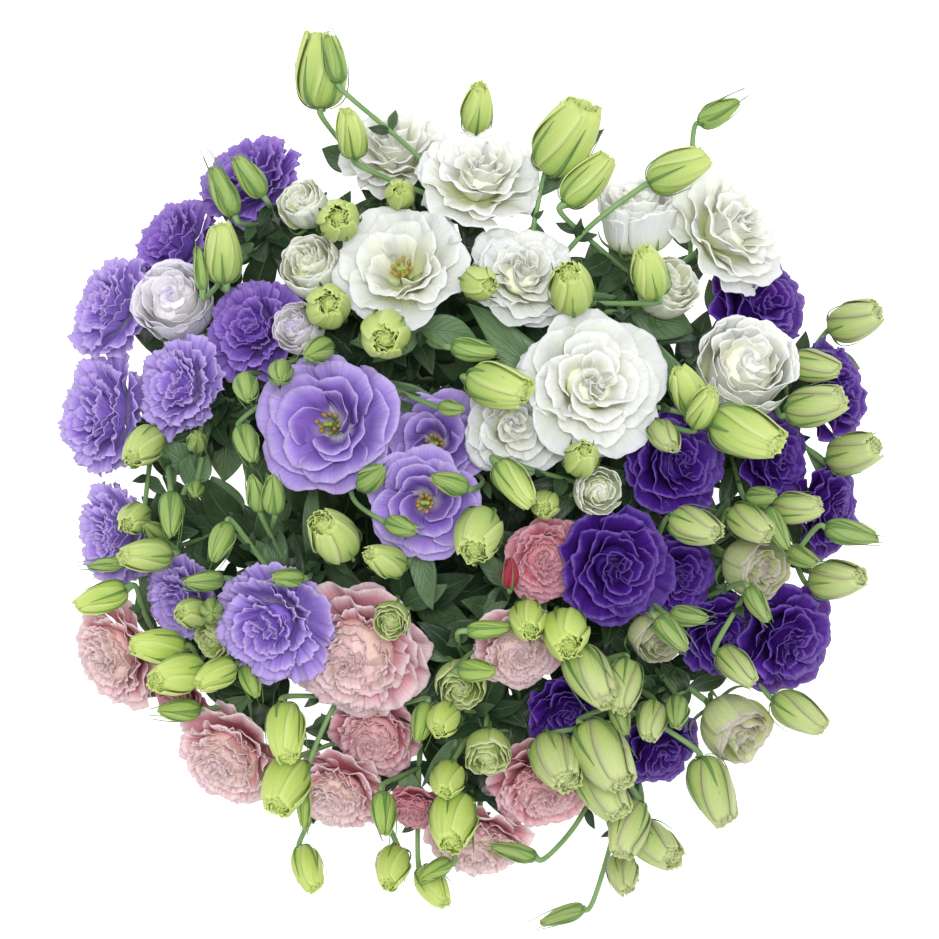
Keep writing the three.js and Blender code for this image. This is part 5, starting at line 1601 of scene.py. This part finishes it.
def leaf_paint():
    """A dull blue-green leaf with a pale midrib and a few long side veins, mottled between a painted
    lit green and a painted shaded green by noise and by the leaf's tone.
    """
    paint = Paint("leaf_skin", 0.42, 0.08)
    across, along = paint.place()
    middle = paint.from_middle(across)
    rib = paint.ramp(middle, 0.015, 0.05, 1.0, 0.0)
    lean = paint.math("SUBTRACT", along, paint.times(middle, 0.75))
    side = paint.math("ABSOLUTE", paint.math("SINE", paint.times(lean, 22)))
    vein = paint.math("MAXIMUM", rib, paint.ramp(side, 0.0, 0.16, 0.5, 0.0))
    # Noise and each leaf's tone choose between the painted shaded and lit greens.
    share = paint.plus(paint.times(paint.noise(70, 3.0), 0.5), paint.times(paint.fact("tone"), 0.6))
    body = paint.mix(paint.ramp(share, 0.25, 0.95), LEAF_SHADED_GREEN, LEAF_LIT_GREEN)
    body = paint.mix(paint.times(vein, 0.45), body, LEAF_VEIN)
    paint.bump(paint.plus(paint.times(vein, -1), paint.times(paint.noise(900, 2.0), 0.3)), 0.0005)
    return paint.finish(body)


def twine_paint():
    paint = Paint("jute", 0.9)
    fibre = paint.streaks(9, 260, 1, 4.0)
    paint.bump(fibre, 0.0003)
    return paint.finish(paint.mix(paint.ramp(fibre, 0.3, 0.7), TWINE_DARK, TWINE_LIGHT))


def floor_paint():
    """Nearly white, and bright enough that what stands on it hardly shades it."""
    paint = Paint("pale_floor", 0.8)
    paint.shader.inputs["Emission Color"].default_value = (1, 1, 1, 1)
    paint.shader.inputs["Emission Strength"].default_value = 0.7
    return paint.finish(paint.mix(paint.noise(30, 2.0), (0.8, 0.8, 0.8), (0.84, 0.84, 0.84)))


# ---- The scene -------------------------------------------------------------------------------

SPAN = 0.4695  # metres that the photograph spans at the height of the blooms
BLOOM_HEIGHT = 0.4
CAMERA_DISTANCE = 6.0
CAMERA_RANGE = 50
SENSOR = 36  # millimetres
SKY_STRENGTH = 0.68
SUN_STRENGTH = 2.15
SUN_WIDTH = 20  # degrees
SUN_LEAN = (-5, 2, 0)  # degrees round each axis
FLOOR_REACH = 4

FRILLS = {"purple_petals": 1.6, "pink_petals": 1.2, "white_petals": 1.2}

# Blooms whose colour differs from the rest of their stem's.
SPECIAL_COLOURS = {
    "bloom_lilac_1_1": "deep_lavender_petals",
    "bloom_lilac_1_2": "deep_lavender_petals",
    "bloom_lilac_1_4": "deep_lavender_petals",
    "bloom_pink_1_3": "rose_petals",
    "bloom_pink_2_3": "warm_pink_petals",
    "bloom_pink_2_4": "rose_petals",
    "bloom_pink_3_1": "rose_petals",
    "bloom_pink_3_3": "warm_pink_petals",
}


def add_object(name, data):
    thing = bpy.data.objects.new(name, data)
    bpy.context.scene.collection.objects.link(thing)
    return thing


def place_camera(shift):
    data = bpy.data.cameras.new("camera")
    data.sensor_width = SENSOR
    data.lens = SENSOR * CAMERA_DISTANCE / SPAN
    data.clip_end = CAMERA_RANGE
    camera = add_object("camera", data)
    camera.location = (shift[0] * MM, shift[1] * MM, BLOOM_HEIGHT + CAMERA_DISTANCE)
    bpy.context.scene.camera = camera


def light_scene():
    """Even white light from all around, and a broad soft light from above."""
    world = bpy.data.worlds.new("studio")
    world.use_nodes = True
    background = world.node_tree.nodes["Background"]
    background.inputs["Color"].default_value = (1, 1, 1, 1)
    background.inputs["Strength"].default_value = SKY_STRENGTH
    bpy.context.scene.world = world
    data = bpy.data.lights.new("overhead", "SUN")
    data.energy = SUN_STRENGTH
    data.angle = math.radians(SUN_WIDTH)
    light = add_object("overhead", data)
    light.location = (0, 0, 3)
    light.rotation_euler = [math.radians(angle) for angle in SUN_LEAN]
    bpy.context.scene.view_settings.view_transform = "Standard"


def lay_floor():
    mesh = bpy.data.meshes.new("floor")
    corners = [(x * FLOOR_REACH, y * FLOOR_REACH, 0) for x, y in ((-1, -1), (1, -1), (1, 1), (-1, 1))]
    mesh.from_pydata(corners, [], [(0, 1, 2, 3)])
    mesh.materials.append(floor_paint())
    floor = add_object("floor", mesh)


def add_piece(shape, name, node, materials, shift):
    piece = shape.build(name, materials, shift)
    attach(piece, "root")
    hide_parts(node)


def mix_paints():
    """Every material of the flowers and the stems, by name."""
    paints = {name: petal_paint(name, *row) for name, row in PETAL_COLOURS.items()}
    paints |= {name: bud_paint(name, *row) for name, row in BUD_COLOURS.items()}
    paints |= {name: green_paint(name, *row) for name, row in GREENS.items()}
    paints["leaf_skin"] = leaf_paint()
    return paints


def seeded(name):
    """Random numbers that are the same each time for one name."""
    return np.random.default_rng(sum((k + 1) * ord(letter) for k, letter in enumerate(name)))


def add_blooms(stem, paints, shift):
    blooms = [flower for flower in stem["heads"] if flower.kind == "bloom"]
    for number, flower in enumerate(blooms, 1):
        node = f"bloom_{stem['name']}_{number}"
        slot = f"{flower.petals or stem['petals']}_petals"
        shape = Shape()
        dress_bloom(shape, flower, seeded(node), PART["petal"], FRILLS.get(slot, 1))
        skins = (SPECIAL_COLOURS.get(node, slot), "stigma_skin", "anther_skin")
        add_piece(shape, f"petals_{node}", node, [paints[skin] for skin in skins], shift)


def add_stem(stem, room, paints, shift):
    node = f"stem_{stem['name']}"
    group = stem["name"].split("_")[0]
    shape = Shape()
    dress_stem(shape, stem, seeded(node), room)
    skins = ("stalk_skin", f"bud_{group}", "leaf_skin", "sepal_skin", f"opening_{group}", "bud_red")
    add_piece(shape, f"greens_{node}", node, [paints[skin] for skin in skins], shift)


def main():
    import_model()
    low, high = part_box("tie")
    middle = (low + high) / 2
    shift = V(middle.x, middle.y, 0) / MM  # from the tables' origin to the frame's
    lay_out(STEMS)
    room = petal_room(STEMS)
    paints = mix_paints()
    for stem in STEMS:
        add_blooms(stem, paints, shift)
        add_stem(stem, room, paints, shift)
    shape = Shape()
    dress_tie(shape)
    add_piece(shape, "twine_tie", "tie", [twine_paint()], shift)
    lay_floor()
    place_camera(shift)
    light_scene()
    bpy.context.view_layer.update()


main()
